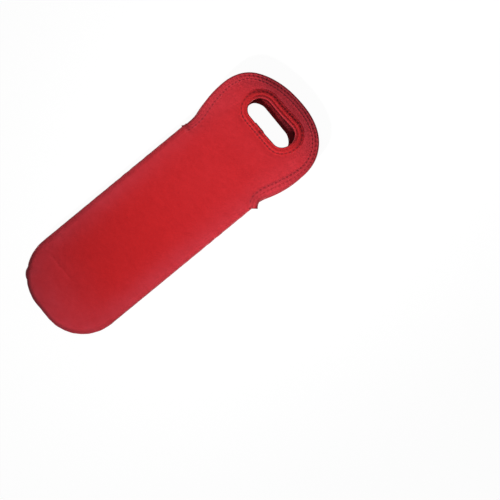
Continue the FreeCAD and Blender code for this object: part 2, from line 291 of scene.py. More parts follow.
class Wall:
    """Front or back wall with its handle: its plan, and the height of its outer face."""

    def __init__(self, sizes, name):
        front = name == "front"
        self.sizes = sizes
        self.name = name
        self.sign = 1.0 if front else -1.0
        self.end = sizes.front_end if front else sizes.back_end
        self.shoulder = sizes.front_shoulder if front else sizes.back_shoulder
        self.shoulder_rise = sizes.shoulder_rise if front else sizes.swell
        self.across = sizes.half_body - sizes.corner_radius
        self.level = sizes.bottom + sizes.corner_radius
        self.half_throat = sizes.half_body - sizes.throat_step
        self.hollow = self.end - (sizes.front_end - sizes.throat) + sizes.throat_lead
        arched = sizes.throat + sizes.arch_length
        over_slot = self.end - sizes.slot_drop
        self.stations = np.array([sizes.throat, arched, over_slot - DROOP_LEAD, over_slot, self.end])
        if front:
            fall = np.array([0.0, 1.0 * MM, 1.9 * MM, 4.2 * MM, sizes.swell - sizes.front_fall])
        else:
            fall = sizes.back_lift * np.array([0.0, 1.0, 1.0, 1.0, 1.0])
        self.crown = sizes.swell - fall
        self.arch = np.array([7.0, 3.0, 2.0, 1.6, 0.8]) * MM

    def seam_line(self):
        """Side and bottom seams, from the left notch round the bottom to the right notch."""
        sizes = self.sizes
        half, radius = sizes.half_body, sizes.corner_radius
        return [
            run((-half, sizes.throat), (-half, self.level)),
            arc((-self.across, self.level), radius, math.pi, 1.5 * math.pi),
            run((-self.across, sizes.bottom), (self.across, sizes.bottom)),
            arc((self.across, self.level), radius, -0.5 * math.pi, 0.0),
            run((half, self.level), (half, sizes.throat)),
        ]

    def drawn(self, stretches):
        """Stretches of a line as the soft front handle really lies, a little askew at its end."""
        if self.sign < 0:
            return stretches
        throat = self.sizes.throat
        laid = []
        for points in stretches:
            x, y = points[:, 0], points[:, 1]
            free = smooth(throat + ASKEW_FROM, throat + ASKEW_TO, y)
            askew = ASKEW_RIGHT * smooth(-10 * MM, 48 * MM, x) + ASKEW_LEFT * smooth(50 * MM, 75 * MM, -x)
            laid.append(np.column_stack([x, y + askew * free]))
        return laid

    def handle_line(self, lead=None):
        """Edge of the handle, from the right notch over its end to the left notch.

        With a lead it runs from that far above the start of the throat's curve on the right
        to the start of the curve on the left.
        """
        sizes = self.sizes
        crown, drop, wide = sizes.crown_radius, sizes.widest_drop, sizes.half_handle
        corner = (2 * crown * drop - drop**2 - wide**2) / (2 * (crown - wide))
        corner_x = wide - corner
        widest = self.end - drop
        lean = math.atan2(crown - drop, corner_x)
        reach = widest - self.hollow
        turn = 2 * math.atan((wide - self.half_throat) / reach)
        flare = reach / math.sin(turn) - sizes.throat_round
        hollow_x = self.half_throat + sizes.throat_round
        right = [
            arc((hollow_x, self.hollow), sizes.throat_round, math.pi, math.pi - turn),
            arc((wide - flare, widest), flare, -turn, 0.0),
            arc((corner_x, widest), corner, 0.0, lean),
            arc((0.0, self.end - crown), crown, lean, 0.5 * math.pi),
        ]
        if lead is None:
            right.insert(0, run((self.half_throat, sizes.throat), (self.half_throat, self.hollow)))
        left = [points[::-1] * (-1.0, 1.0) for points in reversed(right)]
        if lead is not None:
            right[0] = right[0][right[0][:, 1] >= self.hollow + lead]
        return self.drawn(right + left)

    def slot_line(self):
        """Edge of the hand slot, clockwise from the middle of its side towards the pouch."""
        sizes = self.sizes
        half_x = SLOT_HIGH.x - sizes.tape_width
        half_y = 0.5 * (SLOT_HIGH.y - SLOT_LOW.y) - sizes.tape_width
        middle = 0.5 * (SLOT_HIGH.y + SLOT_LOW.y) - sizes.front_end + self.end
        near, far = sizes.slot_corner, sizes.slot_far_corner
        near_x, far_x = half_x - near, half_x - far
        low, high = middle - half_y, middle + half_y
        quarter = 0.5 * math.pi
        start = 3 * MM
        line = [
            run((start, low), (-near_x, low)),
            arc((-near_x, low + near), near, 3 * quarter, 2 * quarter),
            run((-half_x, low + near), (-half_x, high - far)),
            arc((-far_x, high - far), far, 2 * quarter, quarter),
            run((-far_x, high), (far_x, high)),
            arc((far_x, high - far), far, quarter, 0.0),
            run((half_x, high - far), (half_x, low + near)),
            arc((near_x, low + near), near, 0.0, -quarter),
            run((near_x, low), (start, low)),
        ]
        if self.sign < 0:
            sag = 3 * MM
            line = [p - np.outer(sag * smooth(middle, high, p[:, 1]), (0.0, 1.0)) for p in line]
        return self.drawn(line)

    def corner_offset(self, x, y):
        """Offset from the straight-sided core of the pouch, across and along."""
        return np.maximum(np.abs(x) - self.across, 0.0), np.maximum(self.level - y, 0.0)

    def inset(self, x, y):
        """Distance in from the side seam."""
        return self.sizes.corner_radius - np.hypot(*self.corner_offset(x, y))

    def outward(self, x, y):
        """Direction towards the side seam, in plan."""
        over_x, over_y = self.corner_offset(x, y)
        reach = np.maximum(np.hypot(over_x, over_y), 1e-9)
        return np.stack([np.sign(x) * over_x / reach, -over_y / reach], axis=-1)

    def seam_length(self, x, y):
        """Length along the seam from the middle of the bottom, less than 0 on the left."""
        over_x, over_y = self.corner_offset(x, y)
        turn = np.arctan2(over_x, np.maximum(over_y, 1e-9)) * self.sizes.corner_radius
        along = np.minimum(np.abs(x), self.across) + turn + np.maximum(y - self.level, 0.0)
        return np.sign(x) * along

    def pouch_rise(self, inset, y):
        """Height of the pouch's face above the seam, by distance in from the seam."""
        sizes = self.sizes
        flat = 0.65 * smooth(-120 * MM, 60 * MM, y)
        shoulder = self.shoulder_rise + (sizes.swell - self.shoulder_rise) * flat
        share = 1.0 - np.clip(inset / self.shoulder, 0.0, 1.0)
        rise = sizes.seam_roll + (shoulder - sizes.seam_roll) * np.sqrt(1.0 - share**2)
        crown = 1.0 - np.clip(inset / sizes.corner_radius, 0.0, 1.0)
        return rise + (sizes.swell - shoulder) * (1.0 - crown**2)

    def crease_rise(self, x, y):
        """Faint ridge and dent that the front wall has kept from its packing."""
        if self.sign < 0:
            return np.zeros(np.shape(x))
        low, high = PACKING_RIDGE
        taper = 10 * MM
        ridge = hump(y, PACKING_LINE, PACKING_WIDTH)
        ridge = ridge * smooth(low, low + taper, x) * fade(high - taper, high, x)
        from_x, from_y = x - PACKING_DENT[0], y - PACKING_DENT[1]
        along = 0.8 * from_x + 0.6 * from_y
        across = 0.8 * from_y - 0.6 * from_x
        dent = hump(along, 0.0, 7 * MM) * hump(across, 0.0, 2.2 * MM)
        return 0.3 * MM * ridge - 0.25 * MM * dent

    def eased(self, y, values):
        """Values between the stations along the handle, with their corners rounded."""
        spread = np.array([-9.0, -4.5, 0.0, 4.5, 9.0]) * MM
        return np.mean([np.interp(y + step, self.stations, values) for step in spread], axis=0)

    def handle_rise(self, x, y):
        """Height of the handle's face above the seam."""
        sizes = self.sizes
        ends = (self.half_throat, sizes.half_handle)
        edge = np.interp(y, self.stations[:2], ends)
        lean = np.clip((np.abs(x) - sizes.handle_flat) / (edge - sizes.handle_flat), 0.0, 1.15)
        return self.eased(y, self.crown) - self.eased(y, self.arch) * lean**2

    def rise(self, x, y):
        """Height of the outer face above the seam."""
        throat = self.sizes.throat
        share = smooth(throat - HANDLE_LEAD, throat + HANDLE_RUN, y)
        pouch = self.pouch_rise(self.inset(x, y), y) + self.crease_rise(x, y)
        return pouch + (self.handle_rise(x, y) - pouch) * share

    def slope(self, x, y, step):
        """Steepness of the outer face, across and along the carrier."""
        across = (self.rise(x + step, y) - self.rise(x - step, y)) / (2 * step)
        along = (self.rise(x, y + step) - self.rise(x, y - step)) / (2 * step)
        return across, along

    def faces(self, x, y, press):
        """Heights of the outer and inner face where a seam presses the foam together."""
        slope_x, slope_y = self.slope(x, y, 2 * FINE)
        rise = self.rise(x, y)
        depth = self.sizes.wall * np.sqrt(1.0 + slope_x**2 + slope_y**2)
        seam = self.sizes.seam_height
        return seam + self.sign * (rise - press), seam + self.sign * (rise - depth + press)


# Meshes


def new_object(name, points, faces, material, flat=None, marks=None):
    """A mesh object with flat-pattern coordinates and marks on its points."""
    mesh = bpy.data.meshes.new(name)
    mesh.from_pydata([tuple(p) for p in points], [], [tuple(f) for f in faces])
    mesh.polygons.foreach_set("use_smooth", [True] * len(mesh.polygons))
    mesh.set_sharp_from_angle(angle=math.radians(50))
    if flat is not None:
        corner = np.zeros(len(mesh.loops), np.int32)
        mesh.loops.foreach_get("vertex_index", corner)
        layer = mesh.uv_layers.new(name="flat")
        layer.data.foreach_set("uv", np.asarray(flat, np.float32)[corner].ravel())
    for mark, values in (marks or {}).items():
        attribute = mesh.attributes.new(mark, "FLOAT", "POINT")
        attribute.data.foreach_set("value", np.asarray(values, np.float32).ravel())
    mesh.materials.append(material)
    mesh.update()
    made = bpy.data.objects.new(name, mesh)
    bpy.context.scene.collection.objects.link(made)
    return made


def inside(points, outline):
    """Which points lie inside a closed outline."""
    x, y = points[:, 0], points[:, 1]
    found = np.zeros(len(points), bool)
    for first, second in zip(outline, np.roll(outline, -1, axis=0)):
        if first[1] == second[1]:
            continue
        between = (first[1] > y) != (second[1] > y)
        cross = first[0] + (y - first[1]) * (second[0] - first[0]) / (second[1] - first[1])
        found ^= between & (x < cross)
    return found


def nearest(points, line):
    """Which point of a line lies nearest to each point, and how far away it is."""
    tree = kdtree.KDTree(len(line))
    for index, place in enumerate(line):
        tree.insert((place[0], place[1], 0.0), index)
    tree.balance()
    found = [tree.find((p[0], p[1], 0.0)) for p in points]
    return np.array([f[1] for f in found]), np.array([f[2] for f in found])


def twice_area(a, b, c):
    """Twice the area of each triangle, less than 0 where it turns clockwise."""
    first, second = b - a, c - a
    return first[..., 0] * second[..., 1] - first[..., 1] * second[..., 0]


def lattice(low, high, step):
    """Points of an even triangle grid."""
    rows = np.arange(low[1], high[1], step * math.sqrt(0.75))
    columns = np.arange(low[0], high[0], step)
    grid = []
    for index, y in enumerate(rows):
        shifted = columns + 0.5 * step * (index % 2)
        grid.append(np.column_stack([shifted, np.full(len(columns), y)]))
    return np.concatenate(grid)


# Panels

RING_STEPS = np.array([1.0, 2.1, 3.3, 4.5, 5.7, 6.9, 8.1, 9.3, 10.6, 12.2]) * MM
SEAM_START = 1.5 * MM
SEAM_GAP = 0.12 * MM
FLOOR_GAP = 0.05 * MM
CORNER_INSET = 2.2 * MM
CORNER_RISE = 0.35 * MM
NARROW_ALLOWANCE = 6.5 * MM
NARROWING = (50 * MM, 76 * MM)
TUCK_INSET = (3.5 * MM, 7.0 * MM)
TUCK_END = (80 * MM, 92 * MM)
PUCKER_END = (60 * MM, 76 * MM)
PUCKER_REACH = 5 * MM
PUCKER_HEIGHT_REACH = 7 * MM

# Painted shade on the outer knit, in the seam's fold, along the bottom rim and between the bindings:
# insets, heights, and places along the seam

FOLD_INSET = (5 * MM, 8 * MM)
FOLD_RISE = (2.5 * MM, 7 * MM)
RIM_SHADE = ((-120 * MM, -65 * MM), (30 * MM, 125 * MM))
RIM_INSET = 2.5 * MM
BROAD_SHADE = ((-105 * MM, -45 * MM), (-30 * MM, 50 * MM))
BROAD_REACH = 12 * MM
VALLEY = ((5 * MM, 10 * MM), (17 * MM, 24 * MM))
VALLEY_HALF = (30 * MM, 52 * MM)

# Painted sheen on the outer knit, pale as grazing light on its fuzz: how much there is at the bottom, and
# gains between places along the carrier

BOTTOM_SHEEN = 0.7
SHEEN_GAINS = (
    (-0.7, -200 * MM, -110 * MM),
    (0.2, -60 * MM, 80 * MM),
    (0.2, 80 * MM, 150 * MM),
    (0.7, 162 * MM, 187 * MM),
)
SEAM_SHEEN_REACH = 22 * MM


def seam_pucker(along):
    """How far the seam's thread draws the cloth in and out, by length along the seam."""
    along = along / MM
    bunched_at = -53.0
    drift = 1.7 * np.sin(along / 31.0) + 0.9 * np.sin(along / 13.0 + 2.0)
    ripple = 0.5 * np.sin(along / 1.9 + drift) + 0.5 * np.sin(along / 3.1 - 0.8 * drift)
    strength = 0.12 + 0.07 * np.sin(along / 43.0 + 1.0)
    beside = along - bunched_at
    bunch = 1.3 * np.exp(-((beside / 6.5) ** 4))
    bunch = bunch - 0.6 * hump(beside, -9.0, 2.0) - 0.3 * hump(beside, 9.0, 2.4)
    return (strength * ripple + bunch) * MM


class PanelCloth:
    """The laminate of one wall: points of its outer and inner face, its flat pattern and its faces."""

    def __init__(self, wall, tapes):
        self.wall = wall
        self.tapes = tapes
        sizes = wall.sizes
        seam = Rim(wall.seam_line())
        handle = Rim(wall.handle_line())
        slot = tapes["slot"].rim
        notch = wall.half_throat - sizes.half_body + SEAM_START
        free = np.minimum(handle.lengths, handle.length - handle.lengths)
        tuck = notch + (sizes.tuck - notch) * smooth(0.0, 15 * MM, free)
        edge = Rim([seam.moved(SEAM_START), handle.moved(tuck)], closed=True)
        seam_run = np.linalg.norm(np.diff(seam.moved(SEAM_START), axis=0), axis=1).sum()
        step = 0.8 * sizes.cloth_step
        seam_count = round(seam_run / step)
        handle_count = round((edge.length - seam_run) / step)
        lengths = np.r_[
            np.linspace(0.0, seam_run, seam_count + 1),
            np.linspace(seam_run, edge.length, handle_count + 1)[1:-1],
        ]
        slot_lengths = slot.even(sizes.tuck, 0.65 * sizes.cloth_step)[:-1]
        self.plan_region(edge, lengths, slot, slot_lengths)
        self.raise_region()
        self.add_allowance(edge, lengths[: seam_count + 1])
        self.draw_seam()
        if wall.sign < 0:
            self.faces = [face[::-1] for face in self.faces]

    def plan_region(self, edge, lengths, slot, slot_lengths):
        """Points and triangles of the panel seen from above."""
        step = self.wall.sizes.cloth_step
        outline = edge.at(lengths, 0.0)
        tuck = self.wall.sizes.tuck
        hole = slot.at(slot_lengths, tuck)
        rings = [edge.at(lengths, ring) for ring in RING_STEPS]
        rings += [slot.at(slot_lengths, tuck + ring) for ring in RING_STEPS]
        grid = lattice(outline.min(0), outline.max(0), step)
        grid = grid[inside(grid, outline) & ~inside(grid, hole)]
        clear = RING_STEPS[-1] + 0.55 * step
        grid = grid[(nearest(grid, outline)[1] > clear) & (nearest(grid, hole)[1] > clear)]
        rings = np.concatenate(rings)
        rings = rings[inside(rings, outline) & ~inside(rings, hole)]
        across = np.arange(*PACKING_RIDGE, step)
        ridge = np.stack(np.meshgrid(across, PACKING_LINE + PACKING_ROWS), axis=-1).reshape(-1, 2)
        grid = grid[nearest(grid, ridge)[1] > 0.6 * step]
        points = np.concatenate([outline, hole, rings, ridge, grid])
        loops = []
        for first, count in ((0, len(outline)), (len(outline), len(hole))):
            loops += [(first + k, first + (k + 1) % count) for k in range(count)]
        found = geometry.delaunay_2d_cdt([Vector(p) for p in points], loops, [], 0, 0.003 * step)
        order = [origin[0] for origin in found[3]]
        triangles = np.array([[order[k] for k in face] for face in found[2]])
        middles = points[triangles].mean(axis=1)
        triangles = triangles[inside(middles, outline) & ~inside(middles, hole)]
        turned = twice_area(*(points[triangles[:, k]] for k in range(3))) < 0
        triangles[turned] = triangles[turned][:, ::-1]
        self.flat = points
        self.faces = [tuple(face) for face in triangles]

    def raise_region(self):
        """Heights of the panel's outer and inner face."""
        wall, sizes = self.wall, self.wall.sizes
        x, y = self.flat[:, 0], self.flat[:, 1]
        press = np.maximum(*(tape.press_under(self.flat) for tape in self.tapes.values()))
        outer = wall.faces(x, y, press)[0]
        slope_x, slope_y = wall.slope(x, y, FINE)
        steep = np.sqrt(1.0 + slope_x**2 + slope_y**2)
        lean = np.stack([slope_x / steep, slope_y / steep], axis=-1)
        thick = sizes.wall - 2 * press
        inner_plan = self.flat + lean * thick[:, None]
        inner = sizes.seam_height + wall.sign * (wall.rise(x, y) - press - thick / steep)
        inset = wall.inset(x, y)
        tucked = fade(*TUCK_INSET, inset) * fade(*TUCK_END, y)
        corner_inset, corner_rise = self.corner(inset)
        corner_plan = self.flat - wall.outward(x, y) * (corner_inset - inset)[:, None]
        corner_height = sizes.seam_height + wall.sign * corner_rise
        inner_plan += (corner_plan - inner_plan) * tucked[:, None]
        inner += (corner_height - inner) * tucked
        self.outer = np.column_stack([self.flat, outer])
        self.inner = np.column_stack([inner_plan, inner])

    def corner(self, inset):
        """Where the inner face lies over the side seam: inset and height above the seam."""
        wall = self.wall.sizes.wall
        return wall + CORNER_INSET + 0.1 * inset, wall + CORNER_RISE + 0.05 * inset

    def add_allowance(self, edge, lengths):
        """Roll of the cloth into the side seam, and the allowance that is turned in behind it."""
        wall, sizes = self.wall, self.wall.sizes
        count = len(lengths)
        ring = np.arange(count)
        top = (self.outer[ring, 2] - sizes.seam_height) * wall.sign
        rows = self.rolled_rows(top)
        rolled = len(rows)
        at_mouth = smooth(*NARROWING, self.flat[ring, 1])
        width = sizes.allowance - (sizes.allowance - NARROW_ALLOWANCE) * at_mouth
        for share in (0.3, 0.65, 1.0):
            inset = sizes.seam_roll + (width - sizes.seam_roll) * share
            rows.append((inset, np.full(count, SEAM_GAP)))
        corner_inset, corner_rise = self.corner(0.0)
        crowd = 0.03 * MM
        before = ring
        walked = np.zeros(count)
        last = (np.full(count, SEAM_START), top)
        inward = edge.sample(lengths, edge.inward)
        for index, (inset, height) in enumerate(rows):
            inset = np.broadcast_to(inset, (count,))
            walked = walked + np.hypot(inset - last[0], height - last[1])
            last = (inset, height)
            plan = edge.at(lengths, inset - SEAM_START)
            if index < rolled:
                inner_inset = np.full(count, corner_inset - crowd * index)
                inner_height = corner_rise - crowd * index
            else:
                share = (index - rolled + 1) / (len(rows) - rolled)
                inner_inset = corner_inset + (width - corner_inset) * share
                inner_height = sizes.wall + SEAM_GAP
            inner_plan = edge.at(lengths, inner_inset - SEAM_START)
            height_z = sizes.seam_height + wall.sign * height
            inner_z = np.full(count, sizes.seam_height + wall.sign * inner_height)
            now = len(self.flat) + np.arange(count)
            self.outer = np.vstack([self.outer, np.column_stack([plan, height_z])])
            self.inner = np.vstack([self.inner, np.column_stack([inner_plan, inner_z])])
            self.flat = np.vstack([self.flat, self.flat[ring] - inward * walked[:, None]])
            for k in range(count - 1):
                self.faces.append((before[k + 1], before[k], now[k], now[k + 1]))
            before = now

    def rolled_rows(self, top):
        """Inset and height of each row of cloth from the shoulder down into the side seam."""
        wall, roll = self.wall, self.wall.sizes.seam_roll

        def bulge(inset):
            """Share of the shoulder's round that is reached at an inset."""
            return math.sqrt(1.0 - (1.0 - inset / wall.shoulder) ** 2)

        rows = []
        for inset in (0.85 * MM, 0.35 * MM, 0.08 * MM):
            rows.append((inset, roll + (top - roll) * (bulge(inset) / bulge(SEAM_START))))
        for turn in np.radians((0.0, 25.0, 50.0, 72.0, 90.0)):
            height = SEAM_GAP + (roll - SEAM_GAP) * (1.0 - math.sin(turn))
            rows.append((roll * (1.0 - math.cos(turn)), np.full(len(top), height)))
        return rows

    def draw_seam(self):
        """Ripples that the side seam draws into the cloth."""
        wall, sizes = self.wall, self.wall.sizes
        x, y = self.outer[:, 0], self.outer[:, 1]
        inset = np.maximum(wall.inset(x, y), 0.0)
        along = wall.seam_length(x, y)
        below_mouth = fade(*PUCKER_END, y)
        pucker = seam_pucker(along) * below_mouth
        sideways = (pucker * np.exp(-inset / PUCKER_REACH))[:, None] * wall.outward(x, y)
        above = np.clip((self.outer[:, 2] - sizes.seam_height) * wall.sign / (9 * MM), 0.0, 1.0)
        pucker = seam_pucker(along + 3 * MM * wall.sign) * below_mouth
        upward = pucker * np.exp(-inset / PUCKER_HEIGHT_REACH) * above
        for points in (self.outer, self.inner):
            points[:, :2] += sideways
            points[:, 2] = np.maximum(points[:, 2] + upward * wall.sign, FLOOR_GAP)

    def crease(self):
        """Painted shade on the outer knit, from 0 to 1: in the side seam's fold, along the bottom rim,
        towards the lower left and between the bindings.
        """
        wall = self.wall
        x, y, z = self.outer.T
        inset = wall.inset(x, y)
        rise = (z - wall.sizes.seam_height) * wall.sign
        depth = 0.75 - 0.4 * smooth(-140 * MM, -40 * MM, y) - 0.35 * smooth(40 * MM, 72 * MM, y)
        fold = depth * fade(*FOLD_INSET, inset) * fade(*FOLD_RISE, rise)
        along = wall.seam_length(x, y)
        rim = 0.68 * between(along, *RIM_SHADE) * hump(np.maximum(inset, RIM_INSET), RIM_INSET, 3.2 * MM)
        broad = 0.26 * between(along, *BROAD_SHADE) * np.exp(-np.maximum(inset, 0.0) / BROAD_REACH)
        # Painted shade towards the lower left, where the light falls off
        bottom_left = 0.09 * fade(-50 * MM, 60 * MM, x) * fade(-125 * MM, -20 * MM, y)
        over_slot = y - wall.end + wall.sizes.slot_drop
        valley = 0.32 * between(over_slot, *VALLEY) * fade(*VALLEY_HALF, np.abs(x))
        return np.maximum(fold, rim + broad + bottom_left) + valley

    def rubbed(self):
        """How much painted sheen each point gets, from 0 to 1: most along the seam and on the handle."""
        x, y = self.outer[:, 0], self.outer[:, 1]
        held = BOTTOM_SHEEN + sum(gain * smooth(low, high, y) for gain, low, high in SHEEN_GAINS)
        seam = 1.1 - 0.3 * smooth(-40 * MM, 40 * MM, y)
        return held + np.maximum(seam - held, 0.0) * hump(self.wall.inset(x, y), 0.0, SEAM_SHEEN_REACH)

    def layer(self, upper, lower):
        """Points and faces of the laminate between two depths, from 0 outside to 1 inside."""
        count = len(self.outer)
        through = self.inner - self.outer
        points = np.vstack([self.outer + through * upper, self.outer + through * lower])
        faces = [tuple(face) for face in self.faces]
        rims = set()
        for face in faces:
            rims.update(zip(face, face[1:] + face[:1]))
        open_edges = [(a, b) for a, b in rims if (b, a) not in rims]
        under = [tuple(count + k for k in reversed(face)) for face in faces]
        rim = [(b, a, a + count, b + count) for a, b in sorted(open_edges)]
        return points, faces + under + rim

    def flat_size(self):
        """Width, length and area of the cut panel."""
        size = self.flat.max(0) - self.flat.min(0)
        area = 0.0
        for face in self.faces:
            for k in range(1, len(face) - 1):
                area += 0.5 * abs(twice_area(*(self.flat[face[i]] for i in (0, k, k + 1))))
        return tuple(float(v) for v in size), float(area)


# Binding tape

PRESS_DEPTH = 0.35 * MM
FURROW_WIDTH = 0.9 * MM
DIMPLE_WIDTH = 0.8 * MM
DARK_WIDTH = 1.1 * MM
LEAST_LIFT = 0.2 * MM
UNDER_GAP = 0.04 * MM
MIDDLE_GAP = 0.1 * MM
TAIL_THICKNESS = 1.4 * MM
TAIL_LIFT = 0.5 * MM
HANDLE_DROOP = 6 * MM
ROWS_PER_STITCH = 7.0
# Painted sheen on the handle's edge binding
EDGE_SHEEN = 0.45

# Shade on the binding of a handle's edge: places across and along the carrier

END_SHADE = (183 * MM, 203 * MM)
RIGHT_SIDE = (20 * MM, 55 * MM)
FLANK_EASING = (120 * MM, 170 * MM)
FLANK_END = (178 * MM, 195 * MM)
RIGHT_FLANK = ((125 * MM, 150 * MM), (172 * MM, 195 * MM))
RIM_WIDTH = (2.2 * MM, 4.8 * MM)


def far_side(y):
    """How far places on a slot's rim lie towards the handle's end, from 0 to 1."""
    return smooth(-8 * MM, 8 * MM, y - 0.5 * (y.min() + y.max()))


class Tape:
    """A binding folded over a rim and sewn down with a zigzag seam."""

    def __init__(self, wall, rim, rows, pitch, sewn, wander, overlap=0.0, trims=(0.0, 0.0)):
        self.wall = wall
        self.rim = rim
        self.sizes = wall.sizes
        self.rows = rows
        self.pitch = pitch
        self.sewn = sewn
        self.overlap = overlap
        self.trims = trims
        self.fold = min(self.sizes.fold_radius, rows[0] - 0.8 * MM)
        self.wide = wander(rim.points)
        self.holes = rim.even(0.5 * (rows[0] + rows[1]), pitch)
        if not rim.closed:
            ends = 1.6 * MM
            self.holes = self.holes[(self.holes >= ends) & (self.holes <= rim.length - ends)]

    def wander(self, lengths):
        """How far the seam strays from its usual distance to the rim."""
        return np.interp(self.rim.wrapped(lengths), self.rim.lengths, self.wide)

    def spread(self, lengths, inset):
        """Distance from the rim at which the tape lies where the seam strays."""
        return inset + self.wander(lengths) * smooth(0.0, self.rows[0], inset)

    def count_at(self, lengths):
        """Needle holes passed so far, as a running number."""
        return np.interp(self.rim.wrapped(lengths), self.holes, np.arange(len(self.holes)))

    def press(self, inset):
        """How far the seam presses the foam in, by distance from the rim."""
        first, second = self.rows
        inside_rows = smooth(first - 1.8 * MM, first, inset)
        return PRESS_DEPTH * inside_rows * fade(second + 1.4 * MM, second + 9 * MM, inset)

    def press_under(self, points):
        """How far the seam presses the foam in at the panel's points."""
        index, away = nearest(points, self.rim.points)
        lengths = self.rim.lengths[index]
        held = fade(0.0, 0.4, self.tail_share(lengths))
        return self.press(away - self.wander(lengths)) * held

    def drawn_in(self, lengths):
        """How firmly each row of the seam draws the tape in, from 0 to 1."""
        x, y = self.rim.across_along(lengths)
        if self.rim.closed:
            return 0.25, 1.0 - 0.2 * smooth(24 * MM, 36 * MM, np.abs(x))
        over_end = smooth(150 * MM, 185 * MM, y)
        return 0.4 + 0.6 * over_end, 0.85 + 0.15 * over_end

    def groove(self, lengths, inset):
        """The two furrows in which the needle holes lie, from 0 to 1."""
        pairs = zip(self.rows, self.drawn_in(lengths))
        return sum(drawn * hump(inset, row, FURROW_WIDTH) for row, drawn in pairs)

    def dimple(self, lengths, inset, width):
        """How near a place is to a needle hole, from 0 to 1."""
        count = self.count_at(lengths)
        near = np.zeros(np.broadcast(lengths, inset).shape)
        for row, shift, drawn in zip(self.rows, (0.0, 0.5), self.drawn_in(lengths)):
            along = (count - shift - np.round(count - shift)) * self.pitch
            near += drawn * np.exp(-(along**2 + (inset - row) ** 2) / (2 * width**2))
        if not self.rim.closed:
            near = near * smooth(-2 * MM, 0.5 * MM, lengths - self.holes[0])
            near = near * smooth(-2 * MM, 0.5 * MM, self.holes[-1] - lengths)
        return np.clip(near, 0.0, 1.0)

    def climb(self, lengths, inset):
        """The fold where the lapped end climbs over the tape's start, from 0 to 1."""
        if not self.overlap:
            return np.zeros(np.broadcast(lengths, inset).shape)
        over_start = hump(lengths - self.rim.length, 2.2 * MM, 3.6 * MM)
        return over_start * hump(inset - self.rows[0], 1 * MM, 2.6 * MM)

    def lap(self, lengths):
        """Height that the lapped end gains from the tape under it."""
        if not self.overlap:
            return np.zeros(np.shape(lengths))
        return self.sizes.tape_thickness * smooth(-2.5 * MM, 1.5 * MM, lengths - self.rim.length)

    def lift(self, lengths, inset):
        """Height of the tape's face over the panel."""
        thick = self.sizes.tape_thickness
        first, second = self.rows
        lip = hump(inset, 0.6 * first, 0.42 * first)
        ridge = hump(inset, 0.5 * (first + second), 0.3 * (second - first))
        edge = 1.0 - 0.6 * smooth(second + 0.4 * MM, self.sizes.tape_width, inset)
        scallop = 1.0 - 0.12 * np.cos(2 * math.pi * self.count_at(lengths))
        puff, plump = (0.35, 0.6) if self.rim.closed else (0.5, 0.35)
        puff = puff + 0.05 * self.wander(lengths) / MM
        lift = thick * (0.8 + puff * lip * scallop + plump * ridge) * edge
        drawn = 0.35 * self.dimple(lengths, inset, DIMPLE_WIDTH) + 0.15 * self.groove(lengths, inset)
        drawn = drawn + 0.55 * self.climb(lengths, inset)
        return np.maximum(lift - drawn * MM, LEAST_LIFT)

    def tail_share(self, lengths):
        """0 on the part that wraps the panel, rising to 1 at the ends of the tails."""
        if self.rim.closed:
            return np.zeros(np.shape(lengths))
        first = (self.sewn[0] - lengths) / max(self.sewn[0], FINE)
        last = (lengths - self.sewn[1]) / max(self.rim.length - self.sewn[1], FINE)
        return np.clip(np.maximum(first, last), 0.0, 1.0)

    def place(self, lengths, inset, depth, lift):
        """Points of the tape by length, inset, depth through the wall and height over it."""
        wall, sizes = self.wall, self.sizes
        lengths, inset, depth, lift = np.broadcast_arrays(lengths, inset, depth, lift)
        tail = smooth(0.0, 0.7, self.tail_share(lengths))
        spread = self.spread(lengths, inset)
        along = lengths
        if not self.rim.closed:
            start, stop = self.sewn
            leaving = smooth(-9 * MM, 0.0, np.maximum(start - lengths, lengths - stop))
            short = self.fold + (spread - self.fold) * (1.0 - 0.95 * leaving)
            spread = np.where(depth > 0.99, np.minimum(spread, short), spread)
            back = spread / (10 * MM)
            for end, trim, past in zip(self.sewn, self.trims, (lengths < start, lengths > stop)):
                along = np.where(past, end + (lengths - end) * (1 - trim * back), along)
        plan = self.rim.at(along, spread)
        press = self.press(inset) * (1.0 - tail)
        outer, inner = wall.faces(plan[..., 0], plan[..., 1], press)
        inner = inner + (outer - wall.sign * TAIL_THICKNESS - inner) * tail
        raised = lift + TAIL_LIFT * tail
        height = outer + (inner - outer) * depth + wall.sign * raised * (1.0 - 2.0 * depth)
        drooped = HANDLE_DROOP * smooth(sizes.throat + 40 * MM, sizes.throat + 90 * MM, plan[..., 1])
        rise = np.maximum((height - sizes.seam_height) * wall.sign, MIDDLE_GAP - drooped)
        if wall.sign < 0:
            rise = np.minimum(rise, sizes.seam_height - FLOOR_GAP)
        return np.concatenate([plan, (sizes.seam_height + wall.sign * rise)[..., None]], axis=-1)

    def section(self):
        """Insets and depths round the tape's outer face, from one inner edge to the other."""
        width = self.sizes.tape_width
        first, second = self.rows
        middle = 0.5 * (first + second)
        steps = np.array([0.9, 0.45, 0.0, -0.45, -0.9]) * MM
        arm = np.r_[width, width - 0.25 * MM, second + steps, middle + 0.8 * MM, middle - 0.6 * MM]
        arm = np.r_[arm, first + steps, self.fold]
        arm = np.unique(arm[(arm >= self.fold) & (arm <= width)])[::-1]
        turns = np.radians((70.0, 50.0, 30.0, 10.0, -10.0, -30.0, -50.0, -70.0))
        inset = np.r_[arm, self.fold * (1.0 - np.cos(turns)), arm[::-1]]
        depth = np.r_[np.zeros(len(arm)), 0.5 - 0.5 * np.sin(turns), np.ones(len(arm))]
        return inset, depth

